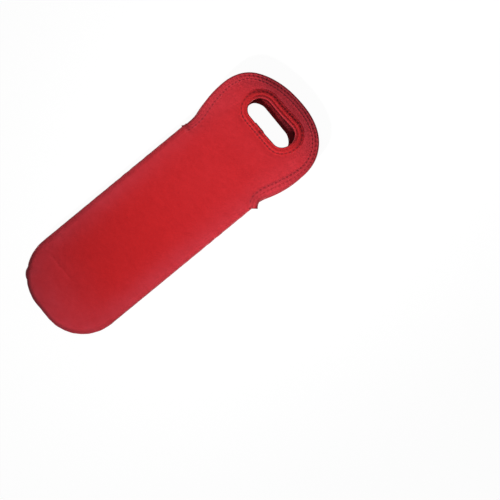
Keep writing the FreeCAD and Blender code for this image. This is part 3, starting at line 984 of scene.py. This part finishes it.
    def mesh(self):
        """Points, faces, flat pattern and marks of the folded tape."""
        total = self.rim.length + self.overlap
        rows = int(total / (self.pitch / ROWS_PER_STITCH)) + 1
        lengths = np.linspace(0.0, total, rows)[:, None]
        inset, depth = (row[None, :] for row in self.section())
        lap = self.lap(lengths)
        nose = np.clip(1.0 - inset / self.fold, 0.0, 1.0)
        outer = self.place(lengths, inset - lap * nose, depth, self.lift(lengths, inset) + lap)
        under = inset + (self.sizes.tape_thickness - lap) * nose
        inner = self.place(lengths, under, depth, UNDER_GAP + lap)
        points = np.concatenate([outer, inner[:, ::-1]], axis=1)
        faces = self.tube(rows, inset.shape[1])
        around = np.r_[0.0, np.cumsum(np.linalg.norm(np.diff(points[rows // 2], axis=0), axis=1))]
        flat = np.stack(np.broadcast_arrays(lengths, around[None, :]), axis=-1)
        # The hole mark is painted shade on the tape's face; the handle's edge binding also gets painted
        # sheen
        dark = self.darkness(lengths, inset, depth)
        dark = np.concatenate([dark, 0.0 * dark], axis=1)
        painted_sheen_share = np.full(dark.shape, 0.0 if self.rim.closed else EDGE_SHEEN)
        marks = {"hole": np.clip(dark, 0.0, 1.0), "rubbed": painted_sheen_share}
        return points.reshape(-1, 3), faces, flat.reshape(-1, 2), marks

    def tube(self, rows, columns):
        """Faces round each row of the folded tape, and over its two cut ends."""
        ring = 2 * columns
        start = (np.arange(rows - 1) * ring)[:, None]
        first = np.arange(ring)[None, :]
        second = (first + 1) % ring
        corners = (start + first, start + second, start + ring + second, start + ring + first)
        faces = [tuple(quad) for quad in np.stack(corners, axis=-1).reshape(-1, 4)]
        last = (rows - 1) * ring
        for k in range(columns - 1):
            cap = (k, ring - 1 - k, ring - 2 - k, k + 1)
            faces.append(cap)
            faces.append(tuple(last + c for c in reversed(cap)))
        if self.wall.sign < 0:
            faces = [face[::-1] for face in faces]
        return faces

    def darkness(self, lengths, inset, depth):
        """Painted shade on the tape's face, from 0 up: in needle holes and furrows, in the fold at the
        lap, at the cut end and where it lies away from the light.
        """
        dot, line = (0.55, 0.42) if self.rim.closed else (0.46, 0.32)
        drawn = dot * self.dimple(lengths, inset, DARK_WIDTH) + line * self.groove(lengths, inset)
        drawn = drawn + 0.7 * self.climb(lengths, inset)
        x, y = self.rim.across_along(lengths)
        if self.rim.closed:
            return drawn * (1.0 - 0.6 * depth) + self.slot_shade(x, y, inset, depth)
        # Painted shade on the tape's cut end
        cut_end = fade(0.4 * MM, 1.4 * MM, lengths)
        return drawn + self.edge_shade(x, y, self.spread(lengths, inset)) + 0.6 * cut_end

    def slot_shade(self, x, y, inset, depth):
        """Shade on a slot's tape: on its far side, most over the fold, and inside the back one."""
        turned = np.maximum(smooth(0.0, 0.25, depth), fade(1.2 * MM, 2.4 * MM, inset))
        ridge = hump(inset, 0.5 * sum(self.rows), 1.7 * MM) * (1.0 - turned)
        shade = far_side(y) * (0.08 + 0.47 * turned + 0.22 * ridge)
        if self.wall.sign < 0:
            shade = shade + (0.06 + 0.24 * smooth(-4 * MM, 10 * MM, x)) * smooth(0.5, 1.0, depth)
        return shade

    def edge_shade(self, x, y, inset):
        """Shade on a handle's tape: over its end, along its flanks' rim and on its right flank."""
        right = smooth(*RIGHT_SIDE, x)
        over_end = 0.5 * smooth(*END_SHADE, y) * (1.0 - 0.5 * right)
        flanks = (1.0 - 0.6 * smooth(*FLANK_EASING, y)) * fade(*FLANK_END, y)
        rim = 0.42 * flanks * fade(*RIM_WIDTH, inset)
        return over_end + rim + 0.12 * right * between(y, *RIGHT_FLANK)

    def strands(self, depth):
        """Starts and ends of the zigzag's threads on one face of the wall."""
        holes = self.holes
        if depth and not self.rim.closed:
            clear = 10 * MM
            holes = holes[(holes > self.sewn[0] + clear) & (holes < self.sewn[1] - clear)]
        count = np.arange(len(holes))
        halves = np.interp(count[:-1] + 0.5, count, holes)
        sink = 0.2 * MM

        def hole(lengths, row):
            """Needle holes of one row, a little below the tape's face."""
            lapped = np.where(lengths < self.overlap, self.sizes.tape_thickness, 0.0)
            lift = self.lift(lengths, np.full(len(lengths), row)) + lapped
            return self.place(lengths, row, depth, lift - sink)

        low = hole(holes, self.rows[0])
        high = hole(halves, self.rows[1])
        return np.vstack([low[:-1], high]), np.vstack([high, low[1:]])


def flank_wander(points):
    """How much wider the binding's lip is laid along the handle's sides than over its end."""
    x, y = points[:, 0] / MM, points[:, 1] / MM
    right = 4.2 * hump(y, 116.0, 36.0)
    left = 2.0 * hump(y, 115.0, 38.0)
    return np.where(x > 0.0, right, left) * MM


def slot_wander(points):
    """How much wider the slot's binding is laid on the side towards the handle's end."""
    return 1.5 * MM * far_side(points[:, 1])


def edge_tape(wall):
    """Binding of a handle's edge, with its tails at the notches."""
    sizes = wall.sizes
    half = wall.half_throat
    if wall.name == "front":
        lead, radius, turn, reach = 5 * MM, sizes.ear_radius, math.radians(56), 1.8 * MM
        left, left_turn, left_run = 12 * MM, math.radians(36), 0.3 * MM
        low, trims = sizes.throat + 1 * MM, (0.0, 0.35)
    else:
        lead, radius, turn, reach = 0.0, 12 * MM, math.radians(24), 0.2 * MM
        left, left_turn, left_run = radius, turn, reach
        low, trims = wall.hollow, (0.35, 0.35)
    line = wall.handle_line(lead)
    lean = math.asin(lead / sizes.throat_round)
    centre = line[0][0] + radius * np.array([math.cos(lean), -math.sin(lean)])
    right_arc = arc(centre, radius, math.pi - lean + turn, math.pi - lean)
    heading = np.array([math.sin(turn - lean), -math.cos(turn - lean)])
    right_tip = run(right_arc[0] + heading * reach, right_arc[0])
    left_arc = arc((-half - left, low), left, 0.0, -left_turn)
    heading = np.array([-math.sin(left_turn), -math.cos(left_turn)])
    left_tip = run(left_arc[-1], left_arc[-1] + heading * left_run)
    straight = [run((-half, wall.hollow), (-half, low))] if low < wall.hollow else []
    rim = Rim([right_tip, right_arc, *line, *straight, left_arc, left_tip])
    sewn = (radius * turn + reach, rim.length - left * left_turn - left_run)
    return Tape(wall, rim, sizes.edge_rows, sizes.edge_pitch, sewn, flank_wander, trims=trims)


def slot_tape(wall):
    """Binding of a hand slot, lapped near the middle of the side towards the pouch."""
    sizes = wall.sizes
    rim = Rim(wall.slot_line(), closed=True)
    sewn = (0.0, rim.length)
    return Tape(wall, rim, sizes.slot_rows, sizes.slot_pitch, sewn, slot_wander, overlap=sizes.lap)


def tapes_of(wall):
    """Both bindings of a handle."""
    return {"edge": edge_tape(wall), "slot": slot_tape(wall)}


# Stitches


def strand_tree():
    """Node tree that lays an arched thread along each point's vector."""
    found = bpy.data.node_groups.get("Laid Threads")
    if found:
        return found
    tree = bpy.data.node_groups.new("Laid Threads", "GeometryNodeTree")
    sockets = tree.interface
    sockets.new_socket(name="Points", in_out="INPUT", socket_type="NodeSocketGeometry")
    for name, default in (("Thread", 0.5 * MM), ("Arch", 0.5 * MM)):
        socket = sockets.new_socket(name=name, in_out="INPUT", socket_type="NodeSocketFloat")
        socket.default_value = default
    sockets.new_socket(name="Finish", in_out="INPUT", socket_type="NodeSocketMaterial")
    sockets.new_socket(name="Threads", in_out="OUTPUT", socket_type="NodeSocketGeometry")

    def node(kind, settings=(), **links):
        """A node with its settings and the values or links of its sockets."""
        made = tree.nodes.new(kind)
        for key, value in dict(settings).items():
            setattr(made, key, value)
        for key, value in links.items():
            socket = made.inputs[key.replace("_", " ")]
            if isinstance(value, bpy.types.NodeSocket):
                tree.links.new(value, socket)
            else:
                socket.default_value = value
        return made

    def times(socket, factor):
        """A socket's value times a factor."""
        made = node("ShaderNodeMath", {"operation": "MULTIPLY"})
        tree.links.new(socket, made.inputs[0])
        made.inputs[1].default_value = factor
        return made.outputs[0]

    given = node("NodeGroupInput").outputs
    top = node("ShaderNodeCombineXYZ", Z=times(given["Arch"], 2.0))
    bend = node(
        "GeometryNodeCurveQuadraticBezier",
        Resolution=6,
        Start=(-0.5, 0.0, 0.0),
        Middle=top.outputs[0],
        End=(0.5, 0.0, 0.0),
    )
    ring = node("GeometryNodeCurvePrimitiveCircle", Resolution=6, Radius=times(given["Thread"], 0.5))
    thread = node(
        "GeometryNodeCurveToMesh", Curve=bend.outputs[0], Profile_Curve=ring.outputs[0], Fill_Caps=True
    )
    along = node("GeometryNodeInputNamedAttribute", {"data_type": "FLOAT_VECTOR"}, Name="along")
    facing = node("GeometryNodeInputNamedAttribute", {"data_type": "FLOAT_VECTOR"}, Name="facing")
    length = node("ShaderNodeVectorMath", {"operation": "LENGTH"})
    tree.links.new(along.outputs[0], length.inputs[0])
    scale = node("ShaderNodeCombineXYZ", X=length.outputs["Value"], Y=1.0, Z=1.0)
    turn = node(
        "FunctionNodeAxesToRotation",
        {"primary_axis": "X", "secondary_axis": "Z"},
        Primary_Axis=along.outputs[0],
        Secondary_Axis=facing.outputs[0],
    )
    laid = node(
        "GeometryNodeInstanceOnPoints",
        Points=given["Points"],
        Instance=thread.outputs[0],
        Rotation=turn.outputs[0],
        Scale=scale.outputs[0],
    )
    real = node("GeometryNodeRealizeInstances", Geometry=laid.outputs[0])
    even = node("GeometryNodeSetShadeSmooth", Geometry=real.outputs[0])
    dressed = node("GeometryNodeSetMaterial", Geometry=even.outputs[0], Material=given["Finish"])
    node("NodeGroupOutput", Threads=dressed.outputs[0])
    return tree


def lay_threads(name, starts, ends, facing, thread, arch, material):
    """One mesh of threads laid from each start to its end, arched towards its facing."""
    mesh = bpy.data.meshes.new(name)
    mesh.from_pydata([tuple(p) for p in 0.5 * (starts + ends)], [], [])
    for key, values in (("along", ends - starts), ("facing", facing)):
        attribute = mesh.attributes.new(key, "FLOAT_VECTOR", "POINT")
        attribute.data.foreach_set("vector", np.asarray(values, np.float32).ravel())
    made = bpy.data.objects.new(name, mesh)
    bpy.context.scene.collection.objects.link(made)
    tree = strand_tree()
    modifier = made.modifiers.new("threads", "NODES")
    modifier.node_group = tree
    values = {"Thread": thread, "Arch": arch, "Finish": material}
    for item in tree.interface.items_tree:
        if item.in_out == "INPUT" and item.name in values:
            modifier[item.identifier] = values[item.name]
    shown = made.evaluated_get(bpy.context.evaluated_depsgraph_get())
    real = bpy.data.meshes.new_from_object(shown)
    made.modifiers.clear()
    made.data = real
    real.name = name
    bpy.data.meshes.remove(mesh)
    return made


# Finishes


class Signal:
    """A shader socket that can stand in sums."""

    def __init__(self, finish, socket):
        self.finish = finish
        self.socket = socket

    def output(self, name):
        """Another output of the same node."""
        return Signal(self.finish, self.socket.node.outputs[name])

    def math(self, operation, first, second):
        """A Math node on two values."""
        return self.finish.node("ShaderNodeMath", {"operation": operation}, {0: first, 1: second})

    def __add__(self, other):
        return self.math("ADD", self, other)

    def __radd__(self, other):
        return self.math("ADD", other, self)

    def __sub__(self, other):
        return self.math("SUBTRACT", self, other)

    def __rsub__(self, other):
        return self.math("SUBTRACT", other, self)

    def __mul__(self, other):
        return self.math("MULTIPLY", self, other)

    def __rmul__(self, other):
        return self.math("MULTIPLY", other, self)

    def __truediv__(self, other):
        return self.math("DIVIDE", self, other)

    def __rtruediv__(self, other):
        return self.math("DIVIDE", other, self)


class Finish:
    """The shader nodes of one material or of the world."""

    def __init__(self, owner):
        owner.use_nodes = True
        self.owner = owner
        self.tree = owner.node_tree
        self.tree.nodes.clear()

    def node(self, kind, settings=(), sockets=(), output=0):
        """A node with its settings and the values or links of its sockets."""
        made = self.tree.nodes.new(kind)
        for key, value in dict(settings).items():
            setattr(made, key, value)
        for key, value in dict(sockets).items():
            if isinstance(value, Signal):
                self.tree.links.new(value.socket, made.inputs[key])
            else:
                made.inputs[key].default_value = value
        return Signal(self, made.outputs[output]) if made.outputs else made

    def place(self):
        """Places on the piece, in metres."""
        return self.node("ShaderNodeTexCoord").output("Object")

    def pattern(self):
        """Both coordinates on the flat pattern, in metres."""
        flat = self.node("ShaderNodeUVMap", {"uv_map": "flat"})
        parts = self.node("ShaderNodeSeparateXYZ", {}, {0: flat})
        return parts.output("X"), parts.output("Y")

    def mark(self, name):
        """One of the marks on the piece's points."""
        return self.node("ShaderNodeAttribute", {"attribute_name": name}, output="Fac")

    def wave(self, angle):
        """Even wave between 0 and 1."""
        return self.node("ShaderNodeMath", {"operation": "SINE"}, {0: angle}) * 0.5 + 0.5

    def mix(self, share, first, second):
        """Colour between two colours."""
        sockets = {0: share, 6: first, 7: second}
        return self.node("ShaderNodeMix", {"data_type": "RGBA"}, sockets, output=2)

    def noise(self, place, scale, detail=2.0):
        """Soft noise around 0.5."""
        return self.node("ShaderNodeTexNoise", {}, {"Vector": place, "Scale": scale, "Detail": detail})

    def bump(self, height, depth, under=None):
        """Normal of a relief with the given depth in metres."""
        sockets = {"Height": height, "Distance": depth, "Strength": 1.0}
        if under is not None:
            sockets["Normal"] = under
        return self.node("ShaderNodeBump", {}, sockets)

    def seen(self):
        """1 where the camera, a mirror or glass looks at the surface, otherwise 0."""
        ray = self.node("ShaderNodeLightPath", {}, {}, output="Is Camera Ray")
        rays = ray + ray.output("Is Glossy Ray") + ray.output("Is Transmission Ray")
        return self.node("ShaderNodeMath", {"operation": "MINIMUM"}, {0: rays, 1: 1.0})

    def blend(self, share, first, second):
        """Shader between two shaders."""
        return self.node("ShaderNodeMixShader", {}, {0: share, 1: first, 2: second})

    def surface(self, **sockets):
        """The material, with its shader's sockets."""
        named = {key.replace("_", " "): value for key, value in sockets.items()}
        return self.close(self.node("ShaderNodeBsdfPrincipled", {}, named))

    def close(self, shader, end="ShaderNodeOutputMaterial"):
        """The material or world that shows a shader."""
        self.node(end, {}, {"Surface": shader})
        return self.owner


WHITE = (1.0, 1.0, 1.0, 1.0)


def opaque(rgb):
    """A colour with full opacity."""
    return (*rgb, 1.0)


def shaded(rgb, share):
    """A colour made darker."""
    return tuple(share * c for c in rgb)


def jersey(name, light, dark, pale, fold, wale=0.9 * MM, course=0.75 * MM):
    """Fine jersey knit: columns of small V-shaped loops with uneven dye, with painted sheen and painted
    shade in places.
    """
    finish = Finish(bpy.data.materials.new(name))
    across, along = finish.pattern()
    column = finish.node("ShaderNodeMath", {"operation": "FRACT"}, {0: across / wale})
    leg = finish.node("ShaderNodeMath", {"operation": "ABSOLUTE"}, {0: column - 0.5})
    loop = finish.wave((along / course + leg * 1.6) * (2 * math.pi))
    groove = finish.wave(leg * (2 * math.pi))
    loops = loop * 0.6 + groove * 0.4
    place = finish.place()
    cloud = finish.noise(place, scale=55.0, detail=3.0)
    grain = finish.noise(place, scale=420.0)
    dye = (cloud - 0.5) * 0.5 + (grain - 0.5) * 1.1 + loops * 0.35 + 0.35
    share = finish.node("ShaderNodeClamp", {}, {0: dye})
    relief = finish.bump(loops, depth=0.12 * MM)
    nap = finish.noise(place, scale=130.0, detail=3.0)
    relief = finish.bump(nap, depth=0.35 * MM, under=relief)
    rough = 0.78 + (grain - 0.5) * 0.25
    # Painted sheen: paler where grazing light would catch the knit's fuzz
    painted_sheen_share = finish.mark("rubbed") * (0.35 + (cloud - 0.5) * 0.5 + loops * 0.3)
    cloth = finish.mix(share, opaque(dark), opaque(light))
    cloth = finish.mix(painted_sheen_share, cloth, opaque(pale))
    return finish.surface(
        # The painted shade mark mixes the knit towards the fold colour
        Base_Color=finish.mix(finish.mark("crease"), cloth, opaque(fold)),
        Roughness=rough,
        Normal=relief,
        Specular_IOR_Level=0.06,
        Sheen_Weight=0.5,
        Sheen_Roughness=0.3,
        Sheen_Tint=opaque((1.0, 0.55, 0.6)),
    )


def bound_tape(name, colours):
    """Knitted binding tape: fine ribs along it, with painted shade where the needle draws it in, in its
    folds and away from the light, and painted sheen on the edge binding.
    """
    finish = Finish(bpy.data.materials.new(name))
    along, around = finish.pattern()
    rib_width, loop_length = 0.8 * MM, 0.7 * MM
    rib = finish.wave(around * (2 * math.pi / rib_width))
    loop = finish.wave(along * (2 * math.pi / loop_length) + rib * 2.0)
    grain = finish.noise(finish.place(), scale=380.0)
    drawn = finish.node(
        "ShaderNodeMapRange",
        {"interpolation_type": "SMOOTHSTEP"},
        {"Value": finish.mark("hole"), "From Min": 0.05, "From Max": 1.0},
    )
    dark = opaque(shaded(colours.tape, share=0.74))
    cloth = finish.mix(rib * 0.35 + loop * 0.25 + grain * 0.5, dark, opaque(colours.tape))
    # Painted sheen on the edge binding, mixed towards the pale colour
    cloth = finish.mix(finish.mark("rubbed"), cloth, opaque(colours.face_rubbed))
    relief = finish.bump(rib * 0.6 + loop * 0.4, depth=0.14 * MM)
    return finish.surface(
        # Painted shade from the hole mark, mixed towards the needle hole colour
        Base_Color=finish.mix(drawn, cloth, opaque(colours.hole)),
        Roughness=0.72 + (grain - 0.5) * 0.3,
        Normal=relief,
        Specular_IOR_Level=0.07,
        Sheen_Weight=0.3,
        Sheen_Roughness=0.3,
        Sheen_Tint=opaque((1.0, 0.6, 0.62)),
    )


def foam_rubber(name, rgb):
    """Closed-cell foam with fine pores."""
    finish = Finish(bpy.data.materials.new(name))
    place = finish.place()
    pores = finish.node("ShaderNodeTexVoronoi", {}, {"Vector": place, "Scale": 1600.0})
    grain = finish.noise(place, scale=300.0)
    dark = opaque(shaded(rgb, share=0.5))
    return finish.surface(
        Base_Color=finish.mix(pores * 0.8 + grain * 0.3, dark, opaque(rgb)),
        Roughness=0.85 + (grain - 0.5) * 0.2,
        Normal=finish.bump(pores, depth=0.1 * MM),
        Specular_IOR_Level=0.1,
    )


def sewing_thread(name, rgb):
    """Twisted sewing thread."""
    finish = Finish(bpy.data.materials.new(name))
    place = finish.place()
    ply = finish.node(
        "ShaderNodeTexWave",
        {"bands_direction": "DIAGONAL"},
        {"Vector": place, "Scale": 900.0, "Distortion": 0.6},
    )
    grain = finish.noise(place, scale=700.0)
    dark = opaque(shaded(rgb, share=0.62))
    return finish.surface(
        Base_Color=finish.mix(ply * 0.6 + grain * 0.4, dark, opaque(rgb)),
        Roughness=0.5 + (grain - 0.5) * 0.3,
        Normal=finish.bump(ply, depth=0.08 * MM),
        Specular_IOR_Level=0.12,
    )


def studio_floor(name, rgb):
    """Pale floor that the camera sees as white, with the carrier's shadow on it."""
    finish = Finish(bpy.data.materials.new(name))
    tone = finish.noise(finish.place(), scale=3.0)
    pale = opaque(shaded(rgb, share=0.98))
    matt = finish.node("ShaderNodeBsdfDiffuse", {}, {"Color": finish.mix(tone, pale, opaque(rgb))})
    white = finish.node("ShaderNodeEmission", {}, {"Color": WHITE, "Strength": 1.04})
    return finish.close(finish.blend(finish.seen() * 0.92, matt, white))


def studio_air(name, strength):
    """Even pale surroundings, white where they are seen."""
    finish = Finish(bpy.data.worlds.new(name))
    soft, white = (
        finish.node("ShaderNodeBackground", {}, {"Color": WHITE, "Strength": level})
        for level in (strength, 1.0)
    )
    return finish.close(finish.blend(finish.seen(), soft, white), "ShaderNodeOutputWorld")


def finish_named(name, make, *values):
    """A material by name, made once."""
    return bpy.data.materials.get(name) or make(name, *values)


# Operators


def bend_with(piece):
    """Bake a piece's placing into its points."""
    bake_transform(piece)


def join_handle(piece, wall, place):
    """Bake a piece on the edge into place, and attach a piece round the slot to its handle's body."""
    if place == "edge":
        bend_with(piece)
    else:
        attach(piece, f"{wall.name}_handle")


class CARRIER_OT_panels(bpy.types.Operator):
    """Cut, swell and laminate the front and back panels: outer knit, foam core and lining"""

    bl_idname = "carrier.panels"
    bl_label = "Panels"

    def execute(self, context):
        sizes, colours = sizes_in(context), context.scene.carrier_colours
        knit = sizes.knit / sizes.wall
        layers = (
            ("face", 0.0, knit, "face_knit"),
            ("foam", knit, 1.0 - knit, "foam"),
            ("lining", 1.0 - knit, 1.0, "lining_knit"),
        )
        outer = (colours.face, colours.face_shade, colours.face_rubbed, colours.fold)
        inner = (colours.lining, shaded(colours.lining, share=0.8), colours.lining, colours.lining)
        finishes = {
            "face": finish_named("outer_jersey", jersey, *outer),
            "foam": finish_named("core_foam", foam_rubber, colours.foam),
            "lining": finish_named("inner_jersey", jersey, *inner),
        }
        for side in SIDES:
            wall = Wall(sizes, side)
            cloth = PanelCloth(wall, tapes_of(wall))
            size, area = cloth.flat_size()
            for layer, upper, lower, slot in layers:
                points, faces = cloth.layer(upper, lower)
                flat = np.vstack([cloth.flat, cloth.flat])
                # Marks of the painted shade and the painted sheen on the outer knit
                marks = {"crease": cloth.crease(), "rubbed": cloth.rubbed()} if layer == "face" else {}
                marks = {key: np.tile(values, 2) for key, values in marks.items()}
                piece = new_object(f"{side}_{layer}", points, faces, finishes[layer], flat, marks)
                bend_with(piece)
                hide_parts(f"{side}_wall_{layer}", f"{side}_handle_{layer}")
                layer == "foam"
        return {"FINISHED"}


class CARRIER_OT_tapes(bpy.types.Operator):
    """Fold the binding tapes over the handles' edges and the hand slots"""

    bl_idname = "carrier.tapes"
    bl_label = "Binding tapes"

    def execute(self, context):
        finish = finish_named("knitted_tape", bound_tape, context.scene.carrier_colours)
        for side in SIDES:
            wall = Wall(sizes_in(context), side)
            for place, tape in tapes_of(wall).items():
                points, faces, flat, marks = tape.mesh()
                piece = new_object(f"{side}_{place}_tape", points, faces, finish, flat, marks)
                join_handle(piece, wall, place)
                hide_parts(f"{side}_{place}_binding")
        return {"FINISHED"}


class CARRIER_OT_zigzags(bpy.types.Operator):
    """Lay the needle and bobbin threads of the zigzag seams on the tapes"""

    bl_idname = "carrier.zigzags"
    bl_label = "Zigzag seams"

    def execute(self, context):
        sizes = sizes_in(context)
        arch = 0.3 * MM
        finish = finish_named("twisted_thread", sewing_thread, context.scene.carrier_colours.thread)
        for side in SIDES:
            wall = Wall(sizes, side)
            for place, tape in tapes_of(wall).items():
                for thread, depth in (("needle", 0.0), ("bobbin", 1.0)):
                    starts, ends = tape.strands(depth)
                    facing = np.tile((0.0, 0.0, wall.sign * (1.0 - 2.0 * depth)), (len(starts), 1))
                    name = f"{side}_{place}_{thread}_stitches"
                    piece = lay_threads(name, starts, ends, facing, sizes.thread, arch, finish)
                    join_handle(piece, wall, place)
                    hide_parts(f"{side}_{place}_{thread}_thread")
        return {"FINISHED"}


class CARRIER_OT_overlock(bpy.types.Operator):
    """Wrap the overlock thread round the raw edges inside the pouch"""

    bl_idname = "carrier.overlock"
    bl_label = "Overlock"

    def execute(self, context):
        sizes = sizes_in(context)
        finish = finish_named("twisted_thread", sewing_thread, context.scene.carrier_colours.thread)
        wall = Wall(sizes, "front")
        seam = Rim(wall.seam_line())
        pitch, bite, clear, arch = 3 * MM, 5 * MM, 0.25 * MM, 0.2 * MM
        below_mouth = 50 * MM
        lengths = seam.even(sizes.allowance, pitch)
        lengths = lengths[seam.at(lengths, sizes.allowance)[:, 1] < below_mouth]
        top = sizes.wall + SEAM_GAP + clear

        def at(shift, inset, rise):
            """Places along the raw edges, moved on by a share of the pitch."""
            plan = seam.at(lengths[:-1] + shift * np.diff(lengths), inset)
            return np.column_stack([plan, np.full(len(plan), sizes.seam_height + rise)])

        edge = sizes.allowance + clear
        inward = np.column_stack([seam.sample(lengths[:-1], seam.inward), np.zeros(len(lengths) - 1)])
        upward = np.tile((0.0, 0.0, 1.0), (len(lengths) - 1, 1))
        runs = [
            (at(0.0, edge - bite, top), at(0.5, edge, top), upward),
            (at(0.5, edge, top), at(0.5, edge, -top), inward),
            (at(0.5, edge, -top), at(1.0, edge - bite, -top), -upward),
            (at(0.0, edge - bite, top), at(1.0, edge - bite, top), upward),
            (at(0.0, edge - bite, -top), at(1.0, edge - bite, -top), -upward),
        ]
        starts, ends, facing = (np.vstack([r[k] for r in runs]) for k in range(3))
        piece = lay_threads("seam_overlock_stitches", starts, ends, facing, sizes.thread, arch, finish)
        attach(piece, "pouch")
        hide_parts("seam_overlock_thread")
        return {"FINISHED"}


class CARRIER_OT_stage(bpy.types.Operator):
    """Set the floor, the lights and the camera"""

    bl_idname = "carrier.stage"
    bl_label = "Stage"

    def execute(self, context):
        scene = context.scene
        scene.view_settings.view_transform = "Standard"
        floor_finish = finish_named("studio_floor", studio_floor, scene.carrier_colours.floor)
        half, below = 6.0, 0.2 * MM
        corners = [(-half, -half, 0.0), (half, -half, 0.0), (half, half, 0.0), (-half, half, 0.0)]
        floor = new_object("floor", corners, [(0, 1, 2, 3)], floor_finish)
        floor.location.z = -below
        floor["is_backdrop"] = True
        scene.world = studio_air("studio_air", strength=0.17)
        place, aim = (0.5, -1.886, 1.251), (-0.02, 0.33, 0.02)
        self.area_light("key_light", place, aim, size=0.2, power=1.33, spread=20)
        place, aim = (-0.3, 0.2, 1.6), (0.0, 0.0, 0.0)
        self.area_light("fill_light", place, aim, size=1.2, power=2.4, spread=180)
        self.place_camera(scene)
        return {"FINISHED"}

    def area_light(self, name, place, aim, size, power, spread):
        """A square lamp aimed at a place on the carrier."""
        data = bpy.data.lights.new(name, "AREA")
        data.size = size
        data.energy = power
        data.spread = math.radians(spread)
        lamp = bpy.data.objects.new(name, data)
        lamp.location = place
        lamp.rotation_euler = (Vector(aim) - Vector(place)).to_track_quat("-Z", "Y").to_euler()
        bpy.context.scene.collection.objects.link(lamp)

    def place_camera(self, scene):
        """Look straight down, with the carrier lying aslant as it was photographed."""
        right = Vector((0.635, 0.773, 0.0)).normalized()
        up = Vector((-right.y, right.x, 0.0))
        target = Vector((0.1070, 0.0417, 0.020))
        height, span = 1.5, 0.6297
        data = bpy.data.cameras.new("camera")
        data.sensor_width = 36.0
        data.lens = data.sensor_width * height / span
        camera = bpy.data.objects.new("camera", data)
        turned = Matrix((right, up, Vector((0.0, 0.0, 1.0)))).transposed().to_4x4()
        camera.matrix_world = Matrix.Translation(target + Vector((0.0, 0.0, height))) @ turned
        scene.collection.objects.link(camera)
        scene.camera = camera


class CARRIER_PT_sidebar(bpy.types.Panel):
    """Sizes, colours and pieces of the carrier"""

    bl_idname = "CARRIER_PT_sidebar"
    bl_label = "Bottle Carrier"
    bl_space_type = "VIEW_3D"
    bl_region_type = "UI"
    bl_category = "Carrier"

    def draw(self, context):
        layout = self.layout
        for group in (context.scene.carrier_sizes, context.scene.carrier_colours):
            box = layout.box()
            for name in group.__annotations__:
                box.prop(group, name)
        for operator in OPERATORS:
            layout.operator(operator.bl_idname)


GROUPS = (CarrierSizes, CarrierColours)
OPERATORS = (
    CARRIER_OT_panels,
    CARRIER_OT_tapes,
    CARRIER_OT_zigzags,
    CARRIER_OT_overlock,
    CARRIER_OT_stage,
)
CLASSES = (*GROUPS, *OPERATORS, CARRIER_PT_sidebar)


def register():
    """Add the classes and the scene's settings."""
    for item in CLASSES:
        bpy.utils.register_class(item)
    bpy.types.Scene.carrier_sizes = bpy.props.PointerProperty(type=CarrierSizes)
    bpy.types.Scene.carrier_colours = bpy.props.PointerProperty(type=CarrierColours)


def unregister():
    """Remove the classes and the scene's settings."""
    del bpy.types.Scene.carrier_colours
    del bpy.types.Scene.carrier_sizes
    for item in reversed(CLASSES):
        bpy.utils.unregister_class(item)


def main():
    """Dress the carrier and work out how large it is."""
    register()
    bpy.ops.carrier.panels()
    bpy.ops.carrier.tapes()
    bpy.ops.carrier.zigzags()
    bpy.ops.carrier.overlock()
    bpy.ops.carrier.stage()
    boxes = {"cad": CAD_BOX, "visual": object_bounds()}
    {key: [list(corner) for corner in box] for key, box in boxes.items()}


if __name__ == "__main__":
    main()
